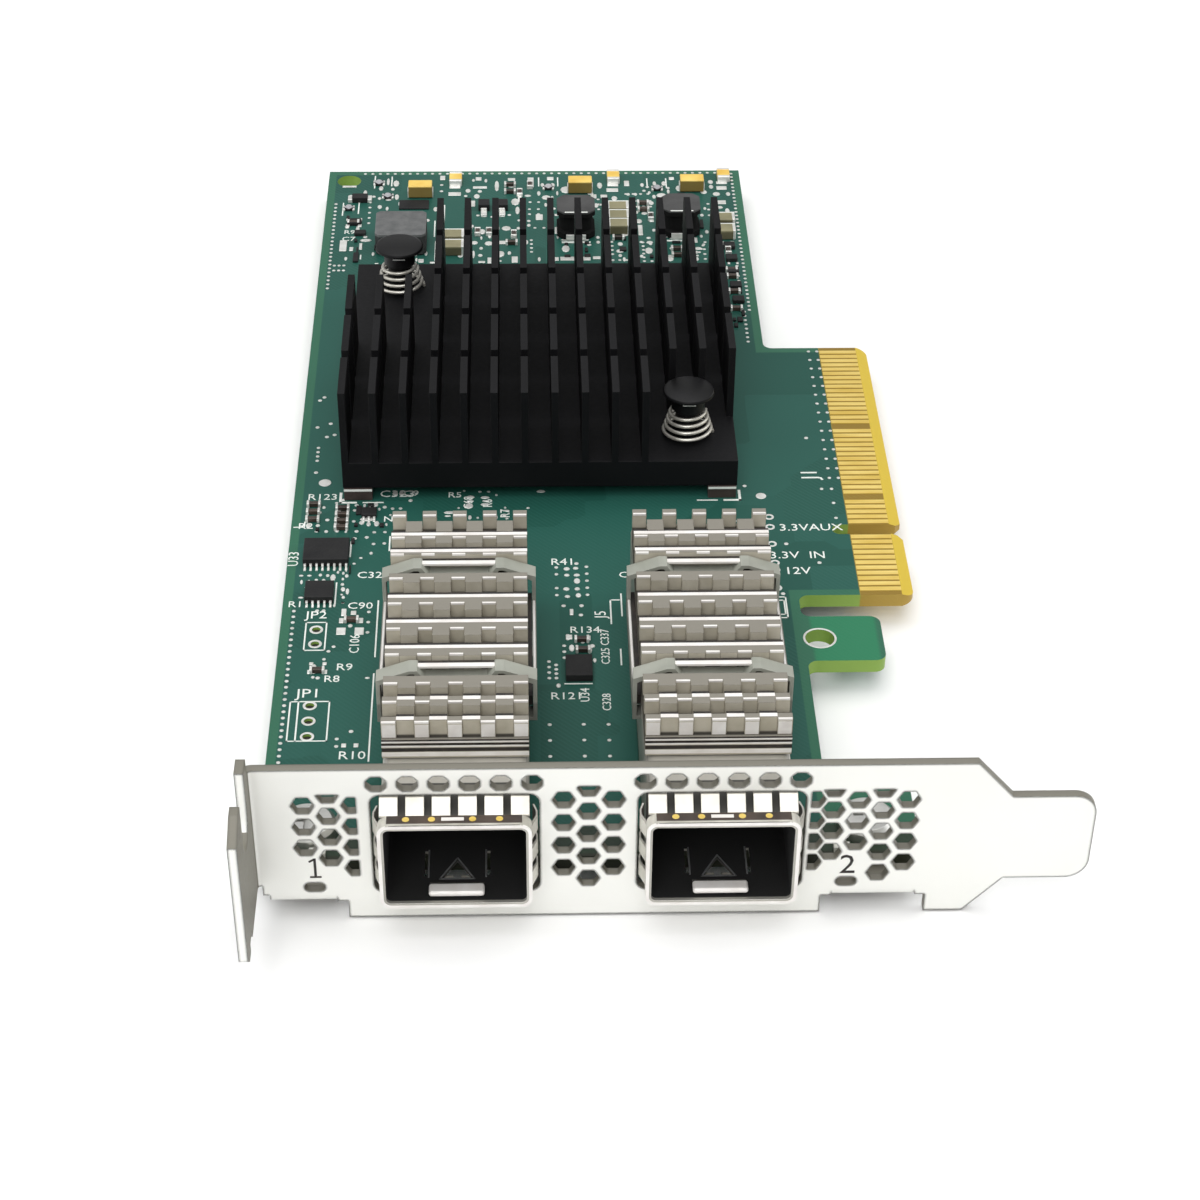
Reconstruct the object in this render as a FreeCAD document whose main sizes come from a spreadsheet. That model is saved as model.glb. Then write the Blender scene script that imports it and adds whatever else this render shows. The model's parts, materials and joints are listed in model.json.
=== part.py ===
import FreeCAD, Part
import math
import os
from FreeCAD import Placement, Rotation, Vector

# Low-profile network interface card with two caged optical ports.
# Every piece is drawn from the card's own corner: x runs from the board's free long
# edge towards the gold fingers, y from the bracket's front face towards the rear edge,
# z up from the component face. The corner is then placed so that the origin is the
# centre of the key notch, on the line of the finger tips.

os.makedirs("parts", exist_ok=True)
doc = FreeCAD.newDocument("network_card")

# ---------------------------------------------------------------- driving dimensions
sheet = doc.addObject("Spreadsheet::Sheet", "sizes")
DIMENSIONS = {
    # board
    "board_length": 142.25,
    "board_thickness": 1.57,
    "tips_height": 68.9,
    "body_height": 56.16,
    "bracket_to_key": 59.0,
    "board_setback": 3.77,
    "finger_front_span": 12.6,
    "finger_rear_span": 39.6,
    "key_width": 1.9,
    "key_depth": 7.9,
    "tip_bevel": 0.45,
    "tip_bevel_depth": 1.25,
    "outer_corner_radius": 1.2,
    "inner_corner_radius": 1.1,
    "key_lead_in": 0.6,
    "hook_front": 34.6,
    "hook_length": 7.9,
    "hook_height": 64.6,
    "foot_length": 10.8,
    "hook_hole_radius": 1.55,
    "hook_hole_inset": 6.8,
    "corner_hole_radius": 1.6,
    "corner_hole_inset": 2.8,
    # gold fingers
    "finger_pitch": 1.0,
    "finger_width": 0.7,
    "finger_start": 5.9,
    "finger_inset": 1.35,
    "finger_thickness": 0.05,
    "first_finger": 1.5,
    # bracket, one folded sheet
    "sheet_thickness": 0.9,
    "bend_radius": 0.4,
    "bracket_top": 14.27,
    "bracket_height": 18.38,
    "bracket_left": 0.6,
    "face_end": 68.4,
    "tongue_end": 80.05,
    "tongue_width": 10.19,
    "tongue_radius": 2.2,
    "tongue_step": 3.6,
    "flange_depth": 11.43,
    "flange_top": 16.0,
    "flange_bottom": 0.0,
    "screw_slot_width": 4.6,
    "screw_slot_centre": 4.8,
    "screw_slot_depth": 6.7,
    "tab_depth": 11.5,
    "left_tab_start": 1.6,
    "left_tab_end": 8.1,
    "right_tab_start": 55.5,
    "right_tab_end": 63.6,
    "relief_height": 2.1,
    "relief_width": 1.0,
    "vent_size": 1.9,
    "vent_pitch": 2.35,
    "vent_rise": 2.8,
    "side_vent_rise": 2.6,
    "air_slot_width": 1.9,
    "air_slot_height": 1.7,
    "air_slot_pitch": 2.9,
    "air_slot_level": 12.5,
    "light_slot_length": 2.0,
    "light_slot_height": 1.1,
    "light_level": -0.2,
    "left_light": 6.0,
    "right_light": 56.85,
    "led_width": 1.6,
    # bracket screws
    "screw_radius": 1.25,
    "screw_clearance": 0.15,
    "screw_head_radius": 2.9,
    "screw_head_height": 1.5,
    "screw_setback": 7.9,
    # ports
    "first_port": 19.58,
    "port_pitch": 25.05,
    "cage_width": 14.0,
    "cage_height": 9.8,
    "cage_length": 48.7,
    "cage_wall": 0.35,
    "cage_overhang": 3.1,
    "cage_corner_radius": 0.9,
    "cage_floor_length": 32.0,
    "port_side_margin": 0.9,
    "port_top_margin": 1.35,
    "port_bottom_margin": 0.9,
    "collar_wall": 0.2,
    "collar_band": 1.5,
    "spring_finger_width": 1.75,
    "spring_finger_pitch": 2.45,
    "spring_finger_rise": 1.05,
    "side_finger_rise": 0.55,
    "latch_width": 6.0,
    "latch_length": 6.1,
    "latch_roll_radius": 0.5,
    "housing_width": 11.4,
    "housing_height": 5.4,
    "housing_length": 9.2,
    "housing_gap": 2.2,
    "card_slot_width": 9.6,
    "card_slot_height": 1.2,
    "card_slot_level": 3.3,
    "contact_pitch": 0.8,
    # cage heat sinks
    "sink_front": 7.0,
    "sink_length": 35.8,
    "sink_base": 2.1,
    "sink_pin_height": 1.9,
    "sink_gap": 0.1,
    "narrow_pin": 1.45,
    # cage clips
    "clip_wall": 0.4,
    "clip_strap": 1.8,
    "clip_front": 16.6,
    "clip_rear": 33.8,
    "clip_gap": 0.45,
    "clip_rail": 2.0,
    "clip_rail_level": 7.4,
    "clip_peak": 13.2,
    # main heat sink
    "cooler_left": 5.65,
    "cooler_front": 65.85,
    "cooler_side": 45.0,
    "cooler_length": 45.7,
    "cooler_lift": 1.5,
    "cooler_base": 3.3,
    "cooler_height": 12.5,
    "fin_thickness": 0.8,
    "fin_count": 14,
    "cross_cut": 1.5,
    "cross_cut_pitch": 9.45,
    "first_cross_cut": 8.5,
    "front_pocket_side": 4.6,
    "front_pocket_end": 3.45,
    "rear_pocket_side": 3.5,
    "rear_pocket_end": 12.35,
    # heat source
    "chip_side": 25.0,
    "chip_height": 1.2,
    "pad_side": 23.0,
    "corner_pad_side": 3.2,
    # board components
    "drum_side": 5.0,
    "drum_height": 4.0,
    "inductor_width": 6.6,
    "inductor_depth": 6.5,
    "inductor_height": 3.0,
    "tantalum_length": 3.2,
    "tantalum_depth": 1.9,
    "tantalum_height": 1.85,
    "large_chip_length": 3.0,
    "large_chip_depth": 2.0,
    "large_chip_height": 1.4,
    "edge_chip_length": 2.7,
    "edge_chip_depth": 1.7,
    "edge_chip_height": 0.9,
    "small_chip_length": 1.6,
    "small_chip_depth": 0.8,
    "small_chip_height": 0.6,
    "lead_width": 0.4,
    "lead_thickness": 0.15,
    "lead_run": 1.1,
    "lead_shoulder": 0.75,
    # push pins
    "pin_spread": 17.0,
    "pin_shank_radius": 1.45,
    "pin_hole_clearance": 0.2,
    "pin_head_radius": 2.95,
    "pin_head_level": 10.8,
    "pin_head_height": 1.1,
    "pin_barb_radius": 1.95,
    "pin_barb_length": 2.3,
    "pin_neck_radius": 1.9,
    "pin_neck_height": 1.4,
    "spring_wire": 0.45,
    "spring_top_radius": 2.2,
    "spring_base_radius": 2.8,
    "spring_turns": 4.0,
}
for row, (name, value) in enumerate(DIMENSIONS.items(), start=1):
    sheet.set("A%d" % row, name)
    sheet.set("B%d" % row, str(value))
    sheet.setAlias("B%d" % row, name)
doc.recompute()


class Sizes:
    """Reads the driving dimensions back from the sheet."""

    def __getattr__(self, name):
        return float(sheet.get(name))


s = Sizes()
X_AXIS = Vector(1, 0, 0)
Y_AXIS = Vector(0, 1, 0)
Z_AXIS = Vector(0, 0, 1)
TOUCH_GAP = 0.02
SKIPPED_FINGERS = {16, 31}

# ---------------------------------------------------------------- derived levels
key_y = s.bracket_to_key
board_front = s.board_setback
board_rear = board_front + s.board_length
under_board = -s.board_thickness
tongue_front = key_y - s.finger_front_span
tongue_rear = key_y + s.finger_rear_span
bracket_bottom = s.bracket_top - s.bracket_height
port_centres = [s.first_port, s.first_port + s.port_pitch]
mouth_y = -s.cage_overhang
cage_rear = mouth_y + s.cage_length
sink_floor = s.cage_height + s.sink_gap
sink_top = sink_floor + s.sink_base
pin_top = sink_top + s.sink_pin_height
cooler_centre_x = s.cooler_left + s.cooler_side / 2
cooler_centre_y = s.cooler_front + s.cooler_length / 2
cooler_floor = s.cooler_lift + s.cooler_base
pin_spots = [
    (cooler_centre_x + s.pin_spread, cooler_centre_y - s.pin_spread),
    (cooler_centre_x - s.pin_spread, cooler_centre_y + s.pin_spread),
]
left_tab_centre = (s.left_tab_start + s.left_tab_end) / 2
right_tab_centre = (s.right_tab_start + s.right_tab_end) / 2
screw_spots = [(left_tab_centre, s.screw_setback), (right_tab_centre, s.screw_setback)]
header_holes = [(3.95, 22.6), (3.95, 25.15), (3.95, 27.7), (3.9, 38.3), (3.9, 40.85)]
HEADER_HOLE_RADIUS = 0.45
corner_hole = (s.corner_hole_inset, board_rear - s.corner_hole_inset)
hook_hole = (s.hook_height - s.hook_hole_inset, s.hook_front + s.hook_length / 2)


# ---------------------------------------------------------------- small helpers
def box(x, y, z, dx, dy, dz):
    return Part.makeBox(dx, dy, dz, Vector(x, y, z))


def rod(x, y, z, radius, height, axis=Z_AXIS):
    return Part.makeCylinder(radius, height, Vector(x, y, z), axis)


def prism(points, direction):
    corners = [Vector(*p) for p in points]
    wire = Part.makePolygon(corners + [corners[0]])
    return Part.Face(wire).extrude(direction)


def fuse(shapes):
    if len(shapes) == 1:
        return shapes[0]
    return shapes[0].multiFuse(shapes[1:]).removeSplitter()


def cut(shape, tools):
    return shape.cut(Part.makeCompound(tools))


def seat(obj):
    """Places a piece with the card's corner at its place from the origin."""
    obj.setExpression("Placement.Base.x", "-sizes.tips_height")
    obj.setExpression("Placement.Base.y", "-sizes.bracket_to_key")


def feature(label, shape):
    obj = doc.addObject("Part::Feature", label)
    obj.Label = label
    obj.Shape = shape
    seat(obj)
    return obj


def block(label, at, size):
    """A plain block bound to the sheet: at and size hold one expression for each axis."""
    obj = doc.addObject("Part::Box", label)
    obj.Label = label
    obj.setExpression("Length", size[0])
    obj.setExpression("Width", size[1])
    obj.setExpression("Height", size[2])
    obj.setExpression("Placement.Base.x", "-sizes.tips_height + " + at[0])
    obj.setExpression("Placement.Base.y", "-sizes.bracket_to_key + " + at[1])
    obj.setExpression("Placement.Base.z", at[2])
    return obj


def origin_plane(body, role):
    return next(f for f in body.Origin.OriginFeatures if f.Role == role)


def sketch_on(body, name, role="XY_Plane", offset=0.0):
    sketch = body.newObject("Sketcher::SketchObject", name)
    sketch.AttachmentSupport = [(origin_plane(body, role), "")]
    sketch.MapMode = "FlatFace"
    sketch.AttachmentOffset = Placement(Vector(0, 0, offset), Rotation())
    return sketch


def draw_loop(sketch, points):
    corners = [Vector(x, y, 0) for x, y in points]
    for start, end in zip(corners, corners[1:] + corners[:1]):
        sketch.addGeometry(Part.LineSegment(start, end), False)


def draw_circles(sketch, spots, radius):
    for x, y in spots:
        sketch.addGeometry(Part.Circle(Vector(x, y, 0), Z_AXIS, radius), False)


def upright_edges(base, spots):
    """Names of the base's vertical edges that stand at these points."""
    names = []
    for index, edge in enumerate(base.Shape.Edges, start=1):
        if abs(edge.tangentAt(edge.FirstParameter).z) < 0.9:
            continue
        middle = edge.CenterOfMass
        if any(math.hypot(middle.x - x, middle.y - y) < 0.01 for x, y in spots):
            names.append("Edge%d" % index)
    return names


def round_corners(body, base, name, spots, radius):
    fillet = body.newObject("PartDesign::Fillet", name)
    fillet.Base = (base, upright_edges(base, spots))
    fillet.setExpression("Radius", radius)
    doc.recompute()
    return fillet


def pocket_through(body, sketch, name):
    before = body.Shape.Volume
    pocket = body.newObject("PartDesign::Pocket", name)
    pocket.Profile = sketch
    pocket.Type = 1
    pocket.Midplane = True
    doc.recompute()
    if body.Shape.Volume >= before:
        raise RuntimeError(name + " removes nothing")
    return pocket


# ---------------------------------------------------------------- circuit board
def circuit_board():
    body = doc.addObject("PartDesign::Body", "circuit_board")
    body.Label = "circuit_board"
    outline = sketch_on(body, "board_outline")
    hook_rear = s.hook_front + s.hook_length
    foot_rear = board_front + s.foot_length
    shoulder = s.body_height
    key_bottom = s.tips_height - s.key_depth
    draw_loop(outline, [
        (0, board_front), (s.hook_height, board_front), (s.hook_height, foot_rear),
        (shoulder, foot_rear), (shoulder, s.hook_front),
        (s.hook_height, s.hook_front), (s.hook_height, hook_rear), (shoulder, hook_rear),
        (shoulder, tongue_front), (s.tips_height, tongue_front),
        (s.tips_height, key_y - s.key_width / 2), (key_bottom, key_y - s.key_width / 2),
        (key_bottom, key_y + s.key_width / 2), (s.tips_height, key_y + s.key_width / 2),
        (s.tips_height, tongue_rear), (shoulder, tongue_rear),
        (shoulder, board_rear), (0, board_rear),
    ])
    pad = body.newObject("PartDesign::Pad", "board_panel")
    pad.Profile = outline
    pad.Reversed = True
    pad.setExpression("Length", "sizes.board_thickness")
    doc.recompute()
    key_spots = [(x, key_y + side * s.key_width / 2) for side in (-1, 1) for x in (key_bottom, s.tips_height)]
    outer = [(s.hook_height, s.hook_front), (s.hook_height, hook_rear), (s.tips_height, tongue_front),
             (s.tips_height, tongue_rear), (s.hook_height, foot_rear)]
    inner = [(shoulder, s.hook_front), (shoulder, hook_rear), (shoulder, tongue_front),
             (shoulder, tongue_rear), (shoulder, foot_rear)]
    rounded = round_corners(body, pad, "outer_corners", outer, "sizes.outer_corner_radius")
    rounded = round_corners(body, rounded, "inner_corners", inner, "sizes.inner_corner_radius")
    rounded = round_corners(body, rounded, "key_end", [key_spots[0], key_spots[2]], "sizes.key_width * 0.49")
    lead_in = body.newObject("PartDesign::Chamfer", "key_lead_in")
    lead_in.Base = (rounded, upright_edges(rounded, [key_spots[1], key_spots[3]]))
    lead_in.setExpression("Size", "sizes.key_lead_in")
    doc.recompute()
    bevels = sketch_on(body, "tip_bevels", "XZ_Plane")
    tip = s.tips_height
    for level, drop in ((0, -s.tip_bevel), (under_board, s.tip_bevel)):
        start = tip - s.tip_bevel_depth
        draw_loop(bevels, [(start, level), (tip + 1, level), (tip + 1, level + drop), (tip, level + drop)])
    pocket_through(body, bevels, "finger_bevels")
    holes = sketch_on(body, "board_holes")
    draw_circles(holes, [corner_hole], s.corner_hole_radius)
    draw_circles(holes, [hook_hole], s.hook_hole_radius)
    draw_circles(holes, header_holes, HEADER_HOLE_RADIUS)
    draw_circles(holes, pin_spots, s.pin_shank_radius + s.pin_hole_clearance)
    draw_circles(holes, screw_spots, s.screw_radius + s.screw_clearance)
    pocket_through(body, holes, "drilled_holes")
    seat(body)
    return body


# ---------------------------------------------------------------- gold fingers
def finger_rows():
    """y of every finger: eleven ahead of the key, thirty-eight behind it."""
    front = [key_y - s.first_finger - s.finger_pitch * i for i in range(11)]
    rear = [key_y + s.first_finger + s.finger_pitch * i for i in range(38)]
    return front + rear


def gold_fingers(label, z, skipped):
    start = s.tips_height - s.finger_start
    length = s.finger_start - s.finger_inset
    pads = []
    for index, y in enumerate(finger_rows()):
        if index not in skipped:
            pads.append(box(start, y - s.finger_width / 2, z, length, s.finger_width, s.finger_thickness))
    return feature(label, Part.makeCompound(pads))


# ---------------------------------------------------------------- bracket
def hexagon(x, z, size):
    """A vent with two points along x, cut through the face."""
    corner = size / math.sqrt(3)
    points = []
    for step in range(6):
        angle = math.radians(60 * step)
        points.append((x + corner * math.cos(angle), -1, z + corner * math.sin(angle)))
    return prism(points, Vector(0, s.sheet_thickness + 2, 0))


def vent_field(columns, low_x, high_x, high_z):
    """Hexagons in staggered columns, clipped to a plain window."""
    window = box(low_x, -1, bracket_bottom + 3.0, high_x - low_x, s.sheet_thickness + 2,
                 high_z - bracket_bottom - 3.0)
    vents = []
    for x, first, rise, count in columns:
        for step in range(count):
            vents.append(hexagon(x, first - rise * step, s.vent_size))
    return Part.makeCompound([v.common(window) for v in vents])


def rounded_slot(x, z, width, height, radius):
    """A slot through the face with rounded corners, centred at x, z."""
    plate = box(x - width / 2, -1, z - height / 2, width, s.sheet_thickness + 2, height)
    upright = [e for e in plate.Edges if abs(e.tangentAt(e.FirstParameter).y) > 0.9]
    return plate.makeFillet(radius, upright)


def clipped_slot(x, z, width, height, corner):
    """A small slot through the face whose corners are cut off."""
    a, b = width / 2, height / 2
    points = [(a - corner, b), (a, b - corner), (a, corner - b), (a - corner, -b),
              (corner - a, -b), (-a, corner - b), (-a, b - corner), (corner - a, b)]
    return prism([(x + dx, -1, z + dz) for dx, dz in points], Vector(0, s.sheet_thickness + 2, 0))


def bracket_face():
    t = s.sheet_thickness
    centre = (s.bracket_top + bracket_bottom) / 2
    tongue_high = centre + s.tongue_width / 2
    tongue_low = centre - s.tongue_width / 2
    left = s.bracket_left + s.bend_radius
    points = [
        (left, 0, s.bracket_top), (s.face_end, 0, s.bracket_top),
        (s.face_end + s.tongue_step, 0, tongue_high), (s.tongue_end, 0, tongue_high),
        (s.tongue_end, 0, tongue_low), (s.face_end + s.tongue_step, 0, tongue_low),
        (s.face_end, 0, bracket_bottom), (left, 0, bracket_bottom),
    ]
    plate = prism(points, Vector(0, t, 0))
    ends = [e for e in plate.Edges if abs(e.tangentAt(e.FirstParameter).y) > 0.9
            and abs(e.CenterOfMass.x - s.tongue_end) < 0.01]
    plate = plate.makeFillet(s.tongue_radius, ends)
    corner = [e for e in plate.Edges if abs(e.tangentAt(e.FirstParameter).y) > 0.9
              and abs(e.CenterOfMass.x - left) < 0.01 and abs(e.CenterOfMass.z - bracket_bottom) < 0.01]
    return plate.makeFillet(s.left_tab_start - s.bracket_left, corner)


def bend(centre, axis_direction, length, start_angle):
    """A quarter turn of sheet about a line, between two flat runs."""
    inner = s.bend_radius
    outer = s.bend_radius + s.sheet_thickness
    turn = Part.makeCylinder(outer, length, centre, axis_direction, 90)
    bore = Part.makeCylinder(inner, length, centre, axis_direction, 90)
    quarter = turn.cut(bore)
    quarter.rotate(centre, axis_direction, start_angle)
    return quarter


def flange():
    """The seat at the free end: a plate across the face's end, with its open screw slot."""
    t = s.sheet_thickness
    outer_x = s.bracket_left - t
    depth = s.flange_depth
    top = s.flange_top
    low = s.flange_bottom
    arm_chamfer = 3.1
    corner = 1.0
    points = [
        (outer_x, -s.bend_radius, low), (outer_x, -s.bend_radius, top),
        (outer_x, -(depth - arm_chamfer), top), (outer_x, -depth, top - 0.4 * arm_chamfer),
        (outer_x, -depth, low + corner), (outer_x, -depth + corner, low),
    ]
    plate = prism(points, Vector(t, 0, 0))
    slot_bottom = top - s.screw_slot_depth
    half = s.screw_slot_width / 2
    slot_y = -s.screw_slot_centre
    slot = box(outer_x - 1, slot_y - half, slot_bottom + half, t + 2, 2 * half, top - slot_bottom)
    slot_end = rod(outer_x - 1, slot_y, slot_bottom + half, half, t + 2, X_AXIS)
    notch = box(outer_x - 1, -depth + 2.4, low - 1, t + 2, 2.0, 1.9)
    return cut(plate, [slot, slot_end, notch])


def tab(start, end):
    """A mounting tab: the face turns back under the board."""
    t = s.sheet_thickness
    low = under_board - t
    y = s.bend_radius + t
    flat = box(start, y, low, end - start, s.tab_depth - y, t)
    curve = bend(Vector(start, y, under_board + s.bend_radius), X_AXIS, end - start, 90)
    return fuse([flat, curve])


def bracket():
    t = s.sheet_thickness
    left = s.bracket_left + s.bend_radius
    tab_line = under_board + s.bend_radius
    openings = []
    for centre in port_centres:
        low_z = -s.port_bottom_margin
        high_z = s.cage_height + s.port_top_margin
        width = s.cage_width + 2 * s.port_side_margin
        opening = rounded_slot(centre, (low_z + high_z) / 2, width, high_z - low_z, 1.0)
        openings.append(opening)
        for step in range(6):
            x = centre + (step - 2.5) * s.air_slot_pitch
            openings.append(clipped_slot(x, s.air_slot_level, s.air_slot_width, s.air_slot_height, 0.5))
    for x in (s.left_light, s.right_light):
        openings.append(rounded_slot(x, s.light_level, s.light_slot_length, s.light_slot_height, 0.54))
    pitch = s.vent_pitch
    rise = s.vent_rise
    side = s.side_vent_rise
    middle = (port_centres[0] + port_centres[1]) / 2
    openings.append(vent_field([
        (middle - pitch, 10.38, rise, 4), (middle, 10.38 + rise / 2, rise, 5),
        (middle + pitch, 10.38, rise, 4)], middle - 5, middle + 5, 12.0))
    left_x = s.left_light - 0.6
    openings.append(vent_field([
        (left_x, 9.98, side, 3), (left_x + pitch, 9.98 + side / 2, side, 4),
        (left_x + 2 * pitch, 9.98, side, 4)], left_x - 2, left_x + 2 * pitch + 0.25, 11.25))
    right_x = s.right_light + 0.6
    openings.append(vent_field([
        (right_x - 2 * pitch + 0.5, 10.1, side, 4), (right_x - pitch, 10.1 + side / 2, side, 4),
        (right_x, 9.98, side, 3), (right_x + pitch, 9.98 + side / 2, side, 5),
        (right_x + 2 * pitch, 9.98, side, 4)], right_x - 2 * pitch + 0.25, right_x + 10, 11.25))
    face = cut(bracket_face(), openings)
    # the lower edge is relieved beside each tab, and the tab's width is cut back to its bend
    reliefs = []
    for start, end in ((s.left_tab_start, s.left_tab_end), (s.right_tab_start, s.right_tab_end)):
        reliefs.append(box(start, -1, bracket_bottom - 1, end - start, t + 2, tab_line - bracket_bottom + 1))
    relief_top = bracket_bottom + s.relief_height
    for x in (s.left_tab_end, s.right_tab_start - s.relief_width, s.right_tab_end):
        reliefs.append(box(x, -1, bracket_bottom - 1, s.relief_width, t + 2, relief_top - bracket_bottom + 1))
    reliefs.append(box(left - 2, -1, bracket_bottom - 1, s.left_tab_start - left + 2, t + 2,
                       s.flange_bottom - bracket_bottom + 1 - 1.2))
    face = cut(face, reliefs)
    corner = bend(Vector(left, -s.bend_radius, s.flange_bottom), Z_AXIS,
                  s.bracket_top - s.flange_bottom, 90)
    sheet_metal = fuse([face, corner, flange(),
                        tab(s.left_tab_start, s.left_tab_end),
                        tab(s.right_tab_start, s.right_tab_end)])
    holes = []
    for x, y in screw_spots:
        holes.append(rod(x, y, under_board - t - 1, s.screw_radius + TOUCH_GAP, t + 2))
    return feature("bracket", cut(sheet_metal, holes))


def bracket_screws():
    screws = []
    for x, y in screw_spots:
        head = rod(x, y, 0, s.screw_head_radius, s.screw_head_height)
        rim = [e for e in head.Edges if abs(e.CenterOfMass.z - s.screw_head_height) < 0.01
               and e.Length > s.screw_head_radius]
        head = head.makeChamfer(0.45, rim)
        shank = rod(x, y, under_board - s.sheet_thickness - 0.4, s.screw_radius,
                    s.board_thickness + s.sheet_thickness + 0.5)
        recess = []
        for turned in (0, 90):
            arm = box(x - 1.3, y - 0.25, s.screw_head_height - 0.7, 2.6, 0.5, 1)
            arm.rotate(Vector(x, y, 0), Z_AXIS, turned)
            recess.append(arm)
        screws.append(cut(fuse([head, shank]), recess))
    return feature("bracket_screws", Part.makeCompound(screws))


# ---------------------------------------------------------------- ports
def tube_along_y(centre, y, z, width, length, height, radius):
    """A bar along y with rounded long edges, centred on x."""
    bar = box(centre - width / 2, y, z, width, length, height)
    long_edges = [e for e in bar.Edges if abs(e.tangentAt(e.FirstParameter).y) > 0.9]
    return bar.makeFillet(radius, long_edges)


def port_cage(number, centre):
    """A folded shell, open at the mouth, with the latch tongue cut in its floor."""
    w = s.cage_width
    t = s.cage_wall
    shell = tube_along_y(centre, mouth_y, 0, w, s.cage_length, s.cage_height, s.cage_corner_radius)
    hollow = tube_along_y(centre, mouth_y - 1, t, w - 2 * t, s.cage_length - t + 1,
                          s.cage_height - 2 * t, s.cage_corner_radius - t)
    floor_gap = box(centre - w / 2 + s.cage_corner_radius, mouth_y + s.cage_floor_length, -1,
                    w - 2 * s.cage_corner_radius, s.cage_length - s.cage_floor_length - t, t + 2)
    half = s.latch_width / 2
    slit_start = mouth_y + 3.9
    slit_length = mouth_y + s.latch_length + 1.4 - slit_start
    slits = [box(centre + side * half - 0.15, slit_start, -1, 0.3, slit_length, t + 2) for side in (-1, 1)]
    catch = prism([(centre - 1.55, mouth_y + 3.6, -1), (centre + 1.55, mouth_y + 3.6, -1),
                   (centre, mouth_y + 6.2, -1)], Vector(0, 0, t + 2))
    lip_slot = box(centre - half + 0.4, mouth_y + 2.5, -1, 2 * half - 0.8, 0.5, t + 2)
    roll = rod(centre - half + 0.5, mouth_y + 1.9, t, s.latch_roll_radius, 2 * half - 1.0, X_AXIS)
    roll = roll.cut(box(centre - w, mouth_y, t - 5, 2 * w, 10, 5))
    shell = cut(shell, [hollow, floor_gap, catch, lip_slot] + slits)
    return feature("port_cage_%d" % number, fuse([shell, roll]))


def spring_finger_profile(rise):
    """Section of one spring finger in run (along y) and height above the cage wall."""
    t = s.collar_wall
    start = mouth_y + s.collar_band
    return [
        (start - 0.02, 0.0), (start - 0.02, t), (-0.15, rise + t), (0.5, rise + t),
        (s.sheet_thickness + 0.6, 0.45 * rise + t), (s.sheet_thickness + 0.6, 0.45 * rise),
        (0.5, rise), (-0.15, rise), (start + 0.2, 0.0),
    ]


def emi_collar(number, centre):
    """The spring ring between the cage's mouth and the bracket: a band with bowed fingers."""
    w = s.cage_width
    high = s.cage_height
    t = s.collar_wall
    corner = s.cage_corner_radius
    band_outer = tube_along_y(centre, mouth_y, -t, w + 2 * t, s.collar_band, high + 2 * t, corner + t)
    band_inner = tube_along_y(centre, mouth_y - 1, 0, w, s.collar_band + 2, high, corner)
    pieces = [band_outer.cut(band_inner)]
    width = s.spring_finger_width
    tall = spring_finger_profile(s.spring_finger_rise)
    low = spring_finger_profile(s.side_finger_rise)
    for step in range(6):
        x = centre + (step - 2.5) * s.spring_finger_pitch - width / 2
        pieces.append(prism([(x, y, high + z) for y, z in tall], Vector(width, 0, 0)))
        pieces.append(prism([(x, y, -z) for y, z in low], Vector(width, 0, 0)))
    for step in range(3):
        z = high / 2 + (step - 1) * 2.9 - width / 2
        for side in (-1, 1):
            wall = centre + side * w / 2
            pieces.append(prism([(wall + side * rise, y, z) for y, rise in low], Vector(0, 0, width)))
    return feature("emi_collar_%d" % number, fuse(pieces))


def port_connector(number, centre):
    """The moulded receptacle at the cage's rear, with its card slot and lead-in."""
    y = mouth_y + s.cage_floor_length + s.housing_gap
    w = s.housing_width
    body = box(centre - w / 2, y, TOUCH_GAP, w, s.housing_length, s.housing_height)
    slot = box(centre - s.card_slot_width / 2, y - 1, s.card_slot_level - s.card_slot_height / 2,
               s.card_slot_width, s.housing_length - 1.5, s.card_slot_height)
    step_back = box(centre - w / 2 - 1, y - 1, s.housing_height - 1.2, w + 2, 3.0, 2)
    return feature("port_connector_%d" % number, cut(body, [slot, step_back]))


def port_contacts(number, centre):
    """Two rows of leaf contacts in the receptacle's slot, with tails behind it."""
    y = mouth_y + s.cage_floor_length + s.housing_gap
    rows = []
    half = s.card_slot_height / 2
    for level in (s.card_slot_level - half, s.card_slot_level + half - 0.2):
        for step in range(10):
            x = centre + (step - 4.5) * s.contact_pitch - 0.15
            rows.append(box(x, y + 0.8, level, 0.3, s.housing_length - 3.3, 0.2))
    return feature("port_contacts_%d" % number, Part.makeCompound(rows))


# ---------------------------------------------------------------- cage heat sinks
# each row: how far its rear lies ahead of the sink's rear edge, and the depth of its
# narrow and wide pins
PIN_ROWS = [
    (0.0, 0.9, 0.0), (1.9, 0.0, 1.9), (4.0, 0.9, 1.9), (7.0, 0.9, 0.9), (11.2, 0.9, 1.6), (14.9, 1.5, 2.6),
    (19.1, 1.5, 2.6), (23.3, 1.5, 1.7), (28.2, 1.2, 1.9), (31.4, 0.9, 1.5), (34.5, 0.9, 0.6),
]


def comb(x, width, teeth):
    """One slice of a cage heat sink: base and pins in a single outline, extruded across."""
    rear = s.sink_front + s.sink_length
    outline = [(s.sink_front, sink_top), (s.sink_front, sink_floor), (rear, sink_floor)]
    if teeth[0][0] > 0:
        outline.append((rear, sink_top))
    for back, depth in teeth:
        near = rear - back
        if back > 0:
            outline.append((near, sink_top))
        outline += [(near, pin_top), (near - depth, pin_top), (near - depth, sink_top)]
    return prism([(x, y, z) for y, z in outline], Vector(width, 0, 0))


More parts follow.
